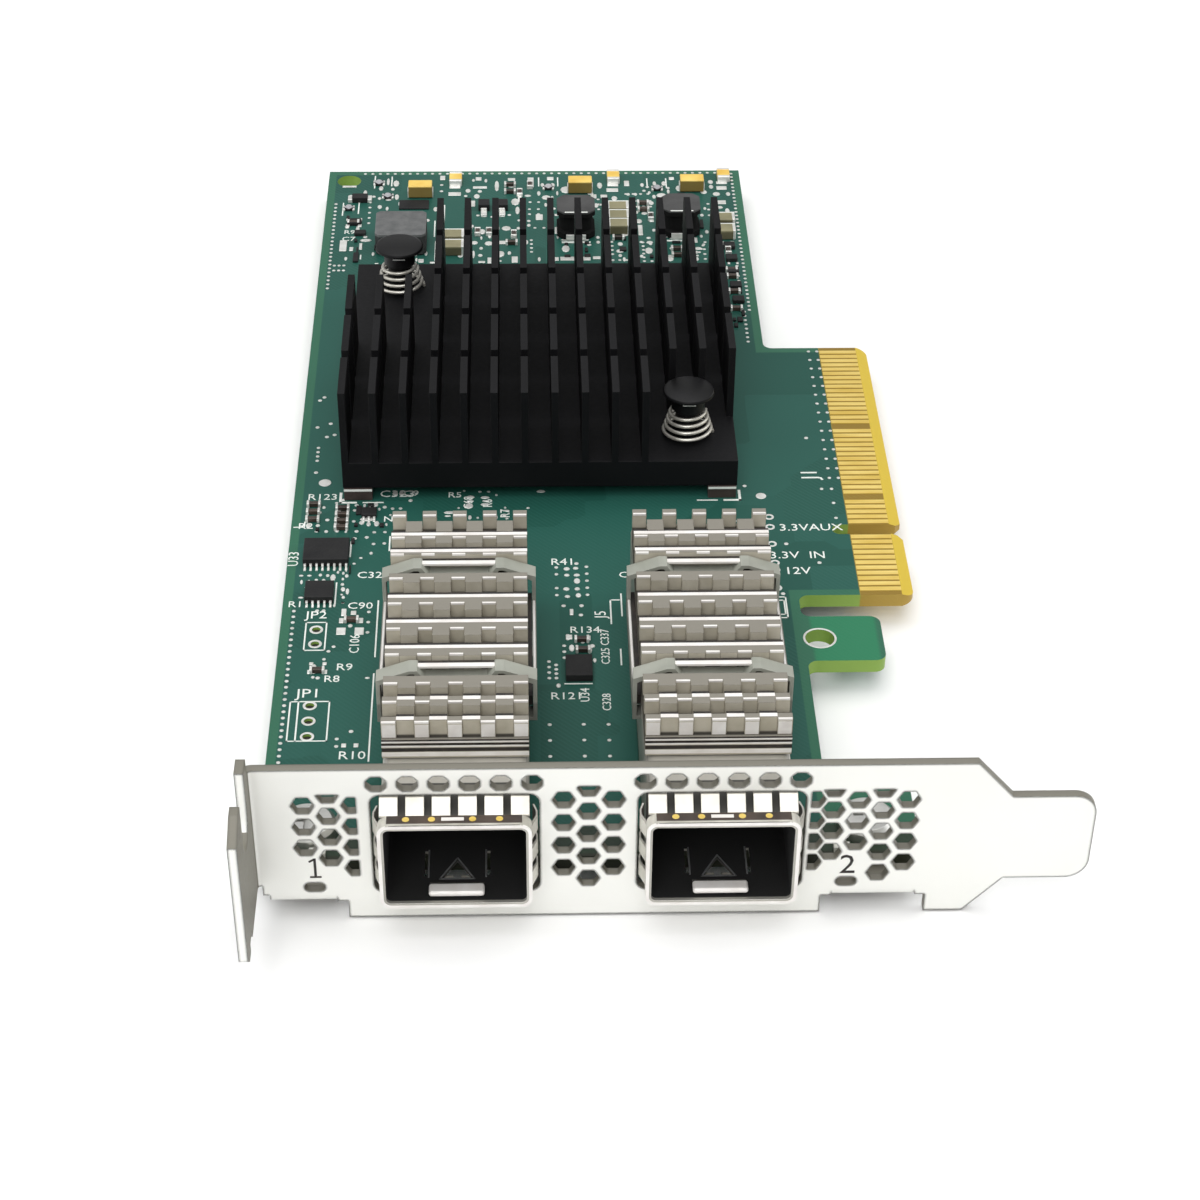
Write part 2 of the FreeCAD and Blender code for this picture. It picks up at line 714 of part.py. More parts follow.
def port_heat_sink(number, centre):
    """Nine slices side by side: narrow pins at the edges and between the wide ones."""
    rows = [row for row in PIN_ROWS if row[0] + max(row[1:]) < s.sink_length]
    narrow_teeth = [(back, narrow) for back, narrow, wide in rows if narrow > 0]
    wide_teeth = [(back, wide) for back, narrow, wide in rows if wide > 0]
    left = centre - s.cage_width / 2
    wide_pin = (s.cage_width - 5 * s.narrow_pin) / 4
    pitch = s.narrow_pin + wide_pin
    slices = [comb(left + pitch * step, s.narrow_pin, narrow_teeth) for step in range(5)]
    slices += [comb(left + pitch * step + s.narrow_pin, wide_pin, wide_teeth) for step in range(4)]
    return feature("port_heat_sink_%d" % number, fuse(slices))


def port_clip(number, centre):
    """A spring clip: two straps bowed over the heat sink, joined by a rail on each side."""
    t = s.clip_wall
    half = s.cage_width / 2
    low = sink_top + TOUCH_GAP
    inner = half + s.clip_gap
    rail_top = s.clip_rail_level + s.clip_rail
    flat = 3.0
    peak = 4.1
    upper = [(flat, low + t), (peak - 0.3, s.clip_peak + t), (peak + 0.5, s.clip_peak + t),
             (inner + t, low + t), (inner + t, s.clip_rail_level)]
    lower = [(inner, s.clip_rail_level), (inner, low - 0.1), (peak + 0.45, s.clip_peak),
             (peak, s.clip_peak), (flat + 0.35, low)]
    outline = upper + lower
    outline += [(-x, z) for x, z in reversed(outline)]
    pieces = []
    for y in (s.clip_front, s.clip_rear):
        front = y - s.clip_strap / 2
        pieces.append(prism([(centre + x, front, z) for x, z in outline], Vector(0, s.clip_strap, 0)))
        for side in (-1, 1):
            pieces.append(rod(centre + side * 1.9, front, low, 0.75, t))
    for side in (-1, 1):
        x = centre + side * (inner + t / 2) - t / 2
        start = s.clip_front - s.clip_strap / 2
        pieces.append(box(x, start, s.clip_rail_level, t, s.clip_rear - s.clip_front + s.clip_strap,
                          rail_top - s.clip_rail_level))
        pieces.append(box(x - side * s.clip_gap / 2 - s.clip_gap / 2, start, s.clip_rail_level,
                          t + s.clip_gap, s.clip_strap, t))
    return feature("port_clip_%d" % number, fuse(pieces))


def status_leds():
    """Side-firing lamps on the board's front edge, behind the bracket's light slots."""
    w = s.led_width
    lamps = []
    for x in (s.left_light, s.right_light):
        lamps.append(box(x - w / 2, board_front + 0.15, 0, w, 0.9, 0.6))
    return feature("status_leds", Part.makeCompound(lamps))


# ---------------------------------------------------------------- main heat sink
def main_heat_sink():
    body = doc.addObject("PartDesign::Body", "main_heat_sink")
    body.Label = "main_heat_sink"
    left = s.cooler_left
    front = s.cooler_front
    right = left + s.cooler_side
    rear = front + s.cooler_length
    base_sketch = sketch_on(body, "cooler_outline", offset=s.cooler_lift)
    draw_loop(base_sketch, [(left, front), (right, front), (right, rear), (left, rear)])
    base = body.newObject("PartDesign::Pad", "cooler_base_plate")
    base.Profile = base_sketch
    base.setExpression("Length", "sizes.cooler_base")
    fin_sketch = sketch_on(body, "fin_outline", offset=s.cooler_lift)
    inner = left + s.fin_thickness
    draw_loop(fin_sketch, [(left, front), (inner, front), (inner, rear), (left, rear)])
    fin = body.newObject("PartDesign::Pad", "fin")
    fin.Profile = fin_sketch
    fin.setExpression("Length", "sizes.cooler_height")
    fins = body.newObject("PartDesign::LinearPattern", "fins")
    fins.Originals = [fin]
    fins.Direction = (fin_sketch, ["H_Axis"])
    fins.Length = s.cooler_side - s.fin_thickness
    fins.Occurrences = int(s.fin_count)
    body.Tip = fins
    doc.recompute()
    pockets = sketch_on(body, "fin_clearings", offset=s.cooler_lift + s.cooler_height)
    first = front + s.first_cross_cut
    for step in range(4):
        near = first + step * s.cross_cut_pitch - s.cross_cut / 2
        far = near + s.cross_cut
        draw_loop(pockets, [(left - 1, near), (right + 1, near), (right + 1, far), (left - 1, far)])
    cuts = body.newObject("PartDesign::Pocket", "cross_cuts")
    cuts.Profile = pockets
    cuts.Length = s.cooler_height - s.cooler_base
    doc.recompute()
    clearings = sketch_on(body, "pin_clearings", offset=s.cooler_lift + s.cooler_height)
    front_pin, rear_pin = pin_spots
    side = front_pin[0] - s.front_pocket_side
    end = front_pin[1] + s.front_pocket_end
    draw_loop(clearings, [(side, front - 1), (right + 1, front - 1), (right + 1, end), (side, end)])
    side = rear_pin[0] + s.rear_pocket_side
    end = rear_pin[1] - s.rear_pocket_end
    draw_loop(clearings, [(left - 1, end), (side, end), (side, rear + 1), (left - 1, rear + 1)])
    clear = body.newObject("PartDesign::Pocket", "pin_pockets")
    clear.Profile = clearings
    clear.Length = s.cooler_height - s.cooler_base
    doc.recompute()
    bores = sketch_on(body, "pin_bores")
    draw_circles(bores, pin_spots, s.pin_shank_radius + s.pin_hole_clearance)
    pocket_through(body, bores, "pin_bore_holes")
    seat(body)
    return body


def corner_pads():
    """Foam feet under the heat sink's corners, which keep it level on the chip."""
    side = s.corner_pad_side
    feet = []
    for x in (s.cooler_left + 0.1, s.cooler_left + s.cooler_side - side - 0.1):
        for y in (s.cooler_front - 0.3, s.cooler_front + s.cooler_length - side + 0.3):
            feet.append(box(x, y, 0, side, side, s.cooler_lift))
    return feature("corner_pads", Part.makeCompound(feet))


def push_pins():
    """Two sprung fasteners: disc head, shank through sink and board, split barb below."""
    head_top = s.pin_head_level
    head_low = head_top - s.pin_head_height
    barb_top = under_board - 0.1
    tip = barb_top - s.pin_barb_length
    r = s.pin_shank_radius
    profile = [
        (0, tip), (0.7, tip), (s.pin_barb_radius, barb_top - 0.4), (s.pin_barb_radius, barb_top),
        (r, barb_top), (r, head_low - s.pin_neck_height), (s.pin_neck_radius, head_low - s.pin_neck_height),
        (s.pin_neck_radius, head_low), (s.pin_head_radius - 0.35, head_low),
        (s.pin_head_radius, head_low + 0.35), (s.pin_head_radius, head_top - 0.35),
        (s.pin_head_radius - 0.35, head_top), (0, head_top),
    ]
    pins = []
    for x, y in pin_spots:
        face = Part.Face(Part.makePolygon([Vector(x + a, y, z) for a, z in profile + profile[:1]]))
        turned = face.revolve(Vector(x, y, 0), Z_AXIS, 360)
        slit = box(x - 3, y - 0.3, tip - 1, 6, 0.6, s.pin_barb_length + s.board_thickness + 1)
        pins.append(turned.cut(slit))
    return feature("push_pins", Part.makeCompound(pins))


def pin_springs():
    """Conical coils of square wire, between the pins' necks and the heat sink."""
    low = cooler_floor + s.spring_wire / 2 + TOUCH_GAP
    high = s.pin_head_level - s.pin_head_height - s.pin_neck_height - s.spring_wire / 2 - TOUCH_GAP
    steps = int(round(s.spring_turns * 16))
    half = s.spring_wire / 2
    rings = []
    for step in range(steps + 1):
        share = step / steps
        angle = 2 * math.pi * s.spring_turns * share
        radius = s.spring_base_radius + (s.spring_top_radius - s.spring_base_radius) * share
        z = low + (high - low) * share
        corners = [(radius - half, z - half), (radius + half, z - half),
                   (radius + half, z + half), (radius - half, z + half)]
        rings.append([Vector(a * math.cos(angle), a * math.sin(angle), b) for a, b in corners])
    faces = [Part.Face(Part.makePolygon(ring + ring[:1])) for ring in (rings[0], rings[-1])]
    for near, far in zip(rings, rings[1:]):
        for side in range(4):
            a, b = near[side], near[(side + 1) % 4]
            c, d = far[(side + 1) % 4], far[side]
            faces.append(Part.Face(Part.makePolygon([a, b, c, a])))
            faces.append(Part.Face(Part.makePolygon([a, c, d, a])))
    coil = Part.makeSolid(Part.makeShell(faces))
    if coil.Volume < 0:
        coil.reverse()
    return feature("pin_springs", Part.makeCompound([coil.translated(Vector(x, y, 0)) for x, y in pin_spots]))


# ---------------------------------------------------------------- board components
# moulded chips: centre, length along the lead rows, body depth and height, leads in a
# row and their pitch, and whether the rows run along y
LOGIC_CHIPS = [
    (4.25, 56.25, 5.0, 3.9, 1.5, 7, 0.65, False),
    (4.02, 47.55, 2.95, 3.9, 1.3, 4, 0.65, False),
    (8.65, 62.2, 2.9, 1.3, 0.95, 3, 0.95, True),
]


def gull_lead(reach):
    """One bent lead that ends at this reach from the chip's middle, seen along its row."""
    t = s.lead_thickness
    high = s.lead_shoulder
    inner = reach - s.lead_run
    points = [(inner, high - t), (inner, high), (inner + 0.45, high), (inner + 0.55, t), (reach, t),
              (reach, 0), (inner + 0.4, 0), (inner + 0.3, high - t)]
    return prism([(-s.lead_width / 2, y, z) for y, z in points], Vector(s.lead_width, 0, 0))


def logic_chips():
    bodies = []
    for x, y, length, depth, height, count, pitch, turned in LOGIC_CHIPS:
        across, along = (depth, length) if turned else (length, depth)
        bodies.append(box(x - across / 2, y - along / 2, 0.1, across, along, height - 0.1))
    return feature("logic_chips", Part.makeCompound(bodies))


def logic_chip_leads():
    """Both rows of every chip, each lead reaching out from the face of its body."""
    leads = []
    for x, y, length, depth, height, count, pitch, turned in LOGIC_CHIPS:
        for side in (0, 180):
            for step in range(count):
                lead = gull_lead(depth / 2 + s.lead_run)
                lead.translate(Vector((step - (count - 1) / 2) * pitch, 0, 0))
                lead.rotate(Vector(0, 0, 0), Z_AXIS, side + (90 if turned else 0))
                lead.translate(Vector(x, y, 0))
                leads.append(lead)
    return feature("logic_chip_leads", Part.makeCompound(leads))


MOULDED_SPOT = (10.45, 125.75)
DRUM_SPOTS = [(33.4, 128.9), (47.3, 129.2)]


def power_inductor():
    """A pressed block with cut corners, standing on its terminals."""
    x, y = MOULDED_SPOT
    w = s.inductor_width
    d = s.inductor_depth
    case = box(x - w / 2, y - d / 2, 0.15, w, d, s.inductor_height - 0.15)
    upright = [e for e in case.Edges if abs(e.tangentAt(e.FirstParameter).z) > 0.9]
    return feature("power_inductor", case.makeChamfer(0.5, upright))


def drum_inductors():
    """Open drum cores: a square base and cap with cut corners, and a wound waist."""
    side = s.drum_side
    cores = []
    for x, y in DRUM_SPOTS:
        plates = []
        for low in (0.15, s.drum_height - 0.8):
            plate = box(x - side / 2, y - side / 2, low, side, side, 0.8)
            upright = [e for e in plate.Edges if abs(e.tangentAt(e.FirstParameter).z) > 0.9]
            plates.append(plate.makeChamfer(0.9, upright))
        waist = rod(x, y, 0.8, side * 0.45, s.drum_height - 1.5)
        cores.append(fuse(plates + [waist]))
    return feature("drum_inductors", Part.makeCompound(cores))


def inductor_terminals():
    """Tinned straps under the inductors' front and rear sides."""
    straps = []
    spans = [(MOULDED_SPOT, s.inductor_width - 2.4, s.inductor_depth / 2, 1.4)]
    spans += [(spot, s.drum_side - 2.4, s.drum_side / 2, 0.85) for spot in DRUM_SPOTS]
    for (x, y), width, half_depth, tall in spans:
        wall = box(x - width / 2, y - half_depth - 0.2, 0, width, 0.2, tall)
        foot = box(x - width / 2, y - half_depth - 0.2, 0, width, 1.2, 0.14)
        strap = fuse([wall, foot])
        straps += [strap, strap.mirror(Vector(x, y, 0), Y_AXIS)]
    return feature("inductor_terminals", Part.makeCompound(straps))


TANTALUM_SPOTS = [(12.6, 139.05), (34.2, 140.15), (49.4, 140.5)]


def tantalum_capacitors():
    w = s.tantalum_length
    d = s.tantalum_depth
    cases = []
    for x, y in TANTALUM_SPOTS:
        case = box(x - w / 2, y - d / 2, 0.1, w, d, s.tantalum_height - 0.1)
        upper = [e for e in case.Edges if e.CenterOfMass.z > 0.2]
        cases.append(case.makeChamfer(0.12, upper))
    return feature("tantalum_capacitors", Part.makeCompound(cases))


def two_pad_parts(label, spots, kind):
    """Small parts soldered at their two ends; a turned one has its ends along y."""
    length, depth, height = (getattr(s, kind + side) for side in ("_length", "_depth", "_height"))
    parts = []
    for x, y, turned in spots:
        across, along = (depth, length) if turned else (length, depth)
        parts.append(box(x - across / 2, y - along / 2, 0, across, along, height))
    return feature(label, Part.makeCompound(parts))


# ---------------------------------------------------------------- assembly
circuit_board()
gold_fingers("fingers_component_side", 0.0, SKIPPED_FINGERS)
gold_fingers("fingers_solder_side", under_board - s.finger_thickness, set())
bracket()
bracket_screws()
for number, centre in enumerate(port_centres, start=1):
    port_cage(number, centre)
    emi_collar(number, centre)
    port_connector(number, centre)
    port_contacts(number, centre)
    port_heat_sink(number, centre)
    port_clip(number, centre)
status_leds()
main_heat_sink()
block("controller_chip",
      ("sizes.cooler_left + (sizes.cooler_side - sizes.chip_side) / 2",
       "sizes.cooler_front + (sizes.cooler_length - sizes.chip_side) / 2", "0"),
      ("sizes.chip_side", "sizes.chip_side", "sizes.chip_height"))
block("thermal_pad",
      ("sizes.cooler_left + (sizes.cooler_side - sizes.pad_side) / 2",
       "sizes.cooler_front + (sizes.cooler_length - sizes.pad_side) / 2", "sizes.chip_height"),
      ("sizes.pad_side", "sizes.pad_side", "sizes.cooler_lift - sizes.chip_height"))
corner_pads()
push_pins()
pin_springs()
logic_chips()
logic_chip_leads()
power_inductor()
drum_inductors()
inductor_terminals()
tantalum_capacitors()
two_pad_parts("ceramic_capacitors", [
    (17.2, 126.1, False), (17.2, 123.3, False), (39.1, 133.7, False), (39.1, 131.25, False),
    (39.1, 128.85, False), (53.1, 130.4, False), (53.0, 127.3, False)], "large_chip")
two_pad_parts("edge_capacitors", [(17.3, 142.9, True), (38.8, 143.4, True), (53.9, 143.8, True)], "edge_chip")
feature("regulator_chip", box(30.5, 31.4, 0, 2.8, 3.6, 0.85))
two_pad_parts("small_passives", [
    (2.35, 64.4, False), (2.35, 62.9, False), (2.35, 61.4, False), (5.65, 63.6, False),
    (5.65, 62.3, False), (5.65, 61.0, False), (5.65, 59.75, False), (7.6, 42.3, False), (4.4, 33.4, False),
    (32.4, 36.6, False), (32.3, 38.4, False), (39.0, 126.6, False), (3.9, 131.0, False),
    (21.2, 134.9, True), (23.6, 134.9, True), (24.7, 139.6, False), (24.7, 141.6, False),
    (27.4, 141.4, True), (26.0, 139.2, True), (20.4, 128.3, True), (21.9, 128.3, True),
    (24.9, 125.4, False), (25.2, 127.6, True), (42.6, 134.4, False), (42.6, 136.2, False),
    (43.5, 132.3, True), (46.6, 123.6, False), (46.6, 121.9, False), (53.3, 122.9, True),
    (53.4, 117.9, False), (53.4, 116.2, False), (53.4, 112.3, False), (53.4, 108.0, False)], "small_chip")

# ---------------------------------------------------------------- checks and export
doc.recompute()
pieces = [o for o in doc.Objects if o.TypeId in ("PartDesign::Body", "Part::Feature", "Part::Box")]
for obj in doc.Objects:
    if "Invalid" in obj.State or "Error" in obj.State:
        raise RuntimeError(obj.Name + " failed to build")
for piece in pieces:
    if piece.Shape.isNull() or not piece.Shape.isValid():
        raise RuntimeError(piece.Label + " has no valid shape")
for piece in pieces:
    piece.Shape.exportStep("parts/%s.step" % piece.Label)
    print("%-24s %2d solids %9.2f mm3" % (piece.Label, len(piece.Shape.Solids), piece.Shape.Volume))
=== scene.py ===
import json
import math
import bpy
import bmesh
from mathutils import Matrix, Vector


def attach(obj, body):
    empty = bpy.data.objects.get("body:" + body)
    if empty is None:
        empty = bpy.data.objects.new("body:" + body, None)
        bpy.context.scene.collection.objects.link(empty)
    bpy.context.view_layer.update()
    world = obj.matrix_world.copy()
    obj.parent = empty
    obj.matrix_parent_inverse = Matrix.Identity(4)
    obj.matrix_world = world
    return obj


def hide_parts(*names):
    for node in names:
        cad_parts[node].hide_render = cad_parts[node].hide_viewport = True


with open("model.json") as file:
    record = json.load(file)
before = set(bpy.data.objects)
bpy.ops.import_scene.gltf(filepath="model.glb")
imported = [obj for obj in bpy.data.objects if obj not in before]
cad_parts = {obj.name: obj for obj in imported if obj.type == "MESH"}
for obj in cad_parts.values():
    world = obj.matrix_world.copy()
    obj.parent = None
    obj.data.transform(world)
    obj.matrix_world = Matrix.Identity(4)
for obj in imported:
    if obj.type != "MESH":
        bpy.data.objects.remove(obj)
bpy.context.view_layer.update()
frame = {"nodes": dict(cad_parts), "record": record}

scene = bpy.context.scene
nodes = frame["nodes"]

# Measures below are in mm from the card's own corner: x from the board's free edge
# towards the finger tips, y from the bracket's face to the rear, z up from the board.
card = {"tipsHeight": 68.9, "bracketToKey": 59.0, "bodyHeight": 56.16, "front": 3.77, "rear": 146.02}
mm = 0.001


def place(x, y, z=0.0):
    return Vector(((x - card["tipsHeight"]) * mm, (y - card["bracketToKey"]) * mm, z * mm))


# shader helpers


def newGroup(name, inputs, outputs):
    tree = bpy.data.node_groups.new(name, "ShaderNodeTree")
    for label, kind, value in inputs:
        socket = tree.interface.new_socket(name=label, in_out="INPUT", socket_type=kind)
        socket.default_value = value
    for label, kind in outputs:
        tree.interface.new_socket(name=label, in_out="OUTPUT", socket_type=kind)
    return tree, tree.nodes.new("NodeGroupInput"), tree.nodes.new("NodeGroupOutput")


def addNode(tree, kind, **settings):
    node = tree.nodes.new(kind)
    for key, value in settings.items():
        setattr(node, key, value)
    return node


def feed(tree, socket, value):
    if isinstance(value, bpy.types.NodeSocket):
        tree.links.new(value, socket)
    else:
        socket.default_value = value


def mixColour(tree, factor, low, high):
    # low and high are sockets or plain tones of three parts
    node = addNode(tree, "ShaderNodeMix", data_type="RGBA")
    for index, value in ((0, factor), (6, low), (7, high)):
        feed(tree, node.inputs[index], (*value, 1) if isinstance(value, tuple) else value)
    return node.outputs[2]


def mathNode(tree, operation, *values):
    node = addNode(tree, "ShaderNodeMath", operation=operation)
    for index, value in enumerate(values):
        feed(tree, node.inputs[index], value)
    return node.outputs[0]


def rampNode(tree, factor, stops):
    node = addNode(tree, "ShaderNodeValToRGB")
    ramp = node.color_ramp
    while len(ramp.elements) < len(stops):
        ramp.elements.new(0.5)
    for element, (position, value) in zip(ramp.elements, stops):
        element.position = position
        element.color = (value, value, value, 1)
    tree.links.new(factor, node.inputs["Fac"])
    return node.outputs["Color"]


def noiseNode(tree, coords, scale, detail=3.0):
    node = addNode(tree, "ShaderNodeTexNoise")
    feed(tree, node.inputs["Scale"], scale)
    node.inputs["Detail"].default_value = detail
    tree.links.new(coords, node.inputs["Vector"])
    return node.outputs["Fac"]


def buildGrainGroup():
    # soft clouds and a fine grain, which a stretch draws out along one axis
    tree, start, end = newGroup("surfaceGrain", [
        ("Cloud Scale", "NodeSocketFloat", 60.0), ("Grain Scale", "NodeSocketFloat", 1800.0),
        ("Stretch", "NodeSocketVector", (1.0, 1.0, 1.0))],
        [("Cloud", "NodeSocketFloat"), ("Grain", "NodeSocketFloat")])
    coords = addNode(tree, "ShaderNodeTexCoord")
    mapping = addNode(tree, "ShaderNodeMapping")
    tree.links.new(coords.outputs["Object"], mapping.inputs["Vector"])
    tree.links.new(start.outputs["Stretch"], mapping.inputs["Scale"])
    cloud = noiseNode(tree, mapping.outputs["Vector"], start.outputs["Cloud Scale"], detail=4.0)
    grain = noiseNode(tree, mapping.outputs["Vector"], start.outputs["Grain Scale"], detail=2.0)
    tree.links.new(cloud, end.inputs["Cloud"])
    tree.links.new(grain, end.inputs["Grain"])
    return tree


def buildEdgeGroup():
    # rounded normal for crisp edges, and a mask of the places where it turns
    tree, start, end = newGroup("edgeRounding", [("Radius", "NodeSocketFloat", 0.0001)],
                                [("Edge", "NodeSocketFloat"), ("Normal", "NodeSocketVector")])
    rounded = addNode(tree, "ShaderNodeBevel", samples=6)
    tree.links.new(start.outputs["Radius"], rounded.inputs["Radius"])
    geometry = addNode(tree, "ShaderNodeNewGeometry")
    turned = addNode(tree, "ShaderNodeVectorMath", operation="DOT_PRODUCT")
    tree.links.new(rounded.outputs["Normal"], turned.inputs[0])
    tree.links.new(geometry.outputs["Normal"], turned.inputs[1])
    edge = addNode(tree, "ShaderNodeMapRange")
    for name, value in (("From Min", 0.995), ("From Max", 0.86), ("To Min", 0.0), ("To Max", 1.0)):
        edge.inputs[name].default_value = value
    tree.links.new(turned.outputs["Value"], edge.inputs["Value"])
    tree.links.new(edge.outputs["Result"], end.inputs["Edge"])
    tree.links.new(rounded.outputs["Normal"], end.inputs["Normal"])
    return tree


def buildDepthGroup():
    # how far a point lies inside a box: 1 well inside it, 0 outside
    tree, start, end = newGroup("insideBox", [
        ("Centre", "NodeSocketVector", (0, 0, 0)), ("Half", "NodeSocketVector", (0.01, 0.01, 0.01)),
        ("Fade", "NodeSocketFloat", 0.002)], [("Inside", "NodeSocketFloat")])
    coords = addNode(tree, "ShaderNodeTexCoord")
    offset = addNode(tree, "ShaderNodeVectorMath", operation="SUBTRACT")
    tree.links.new(coords.outputs["Object"], offset.inputs[0])
    tree.links.new(start.outputs["Centre"], offset.inputs[1])
    size = addNode(tree, "ShaderNodeVectorMath", operation="ABSOLUTE")
    tree.links.new(offset.outputs["Vector"], size.inputs[0])
    room = addNode(tree, "ShaderNodeVectorMath", operation="SUBTRACT")
    tree.links.new(start.outputs["Half"], room.inputs[0])
    tree.links.new(size.outputs["Vector"], room.inputs[1])
    axes = addNode(tree, "ShaderNodeSeparateXYZ")
    tree.links.new(room.outputs["Vector"], axes.inputs["Vector"])
    least = mathNode(tree, "MINIMUM", mathNode(tree, "MINIMUM", axes.outputs["X"], axes.outputs["Y"]),
                     axes.outputs["Z"])
    share = mathNode(tree, "DIVIDE", least, start.outputs["Fade"])
    clipped = addNode(tree, "ShaderNodeClamp")
    tree.links.new(share, clipped.inputs["Value"])
    tree.links.new(clipped.outputs["Result"], end.inputs["Inside"])
    return tree


surfaceGrain = buildGrainGroup()
edgeRounding = buildEdgeGroup()
insideBox = buildDepthGroup()


def grainNode(tree, cloud, grain, stretch=(1, 1, 1)):
    node = addNode(tree, "ShaderNodeGroup", node_tree=surfaceGrain)
    node.inputs["Cloud Scale"].default_value = cloud
    node.inputs["Grain Scale"].default_value = grain
    node.inputs["Stretch"].default_value = stretch
    return node.outputs["Cloud"], node.outputs["Grain"]


def insideNode(tree, low, high, fade):
    # low and high are card corners in mm, fade in mm
    near, far = place(*low), place(*high)
    node = addNode(tree, "ShaderNodeGroup", node_tree=insideBox)
    node.inputs["Centre"].default_value = (near + far) / 2
    node.inputs["Half"].default_value = (far - near) / 2
    node.inputs["Fade"].default_value = fade * mm
    return node.outputs["Inside"]


def startMaterial(name):
    material = bpy.data.materials.new(name)
    material.use_nodes = True
    tree = material.node_tree
    return material, tree, tree.nodes["Principled BSDF"]


bumpStrength = 0.4


def bumpFrom(tree, shader, height, distance, normal=None):
    bump = addNode(tree, "ShaderNodeBump")
    bump.inputs["Distance"].default_value = distance
    bump.inputs["Strength"].default_value = bumpStrength
    tree.links.new(height, bump.inputs["Height"])
    if normal:
        tree.links.new(normal, bump.inputs["Normal"])
    tree.links.new(bump.outputs["Normal"], shader.inputs["Normal"])


# what a finish takes where it says nothing else
plainFinish = {"stretch": (1, 1, 1), "bevel": 0.0001, "paintedEdgeShare": 0.5, "metal": 0.0, "shade": (),
               "specular": 0.5, "relief": 0.00002, "spread": ((0.3, 0.0), (0.7, 1.0)), "facing": 0.6}


def grainyMaterial(finish):
    # two tones in soft clouds, a third on the edges (a painted highlight where it is lighter, a painted shade
    # line where darker), grain in roughness and relief
    look = plainFinish | finish
    material, tree, shader = startMaterial(look["name"])
    cloud, grain = grainNode(tree, look["cloud"], look["grain"], look["stretch"])
    colour = mixColour(tree, rampNode(tree, cloud, look["spread"]), look["dark"], look["light"])
    normal = None
    # the edge tone is a painted highlight where it is lighter than the face, and a painted shade line where
    # it is darker
    if "edge" in look:
        rounding = addNode(tree, "ShaderNodeGroup", node_tree=edgeRounding)
        rounding.inputs["Radius"].default_value = look["bevel"]
        paintedEdge = mathNode(tree, "MULTIPLY", rounding.outputs["Edge"], look["paintedEdgeShare"])
        colour = mixColour(tree, paintedEdge, colour, look["edge"])
        normal = rounding.outputs["Normal"]
    if "turned" in look:
        # faces towards one axis, or away from it, take a tone of their own: painted shade on the faces the
        # light reaches less
        axis, test, tone = look["turned"]
        geometry = addNode(tree, "ShaderNodeNewGeometry")
        split = addNode(tree, "ShaderNodeSeparateXYZ")
        tree.links.new(geometry.outputs["Normal"], split.inputs["Vector"])
        mask = mathNode(tree, test, mathNode(tree, "ABSOLUTE", split.outputs[axis]), look["facing"])
        colour = mixColour(tree, mask, colour, tone)
    low, high = look["rough"]
    rough = mathNode(tree, "MULTIPLY_ADD", grain, high - low, low)
    metal = look["metal"]
    for near, far, fade, share in look["shade"]:
        # painted shade: the shade tone inside a box of the card, with a rougher, less metallic surface
        paintedShade = mathNode(tree, "MULTIPLY", insideNode(tree, near, far, fade), share)
        colour = mixColour(tree, paintedShade, colour, look["paintedShade"])
        rough = mathNode(tree, "MAXIMUM", rough, paintedShade)
        metal = mathNode(tree, "MULTIPLY", mathNode(tree, "SUBTRACT", 1.0, paintedShade), metal)
    tree.links.new(colour, shader.inputs["Base Color"])
    tree.links.new(rough, shader.inputs["Roughness"])
    feed(tree, shader.inputs["Metallic"], metal)
    shader.inputs["Specular IOR Level"].default_value = look["specular"]
    bumpFrom(tree, shader, grain, look["relief"], normal)
    return material


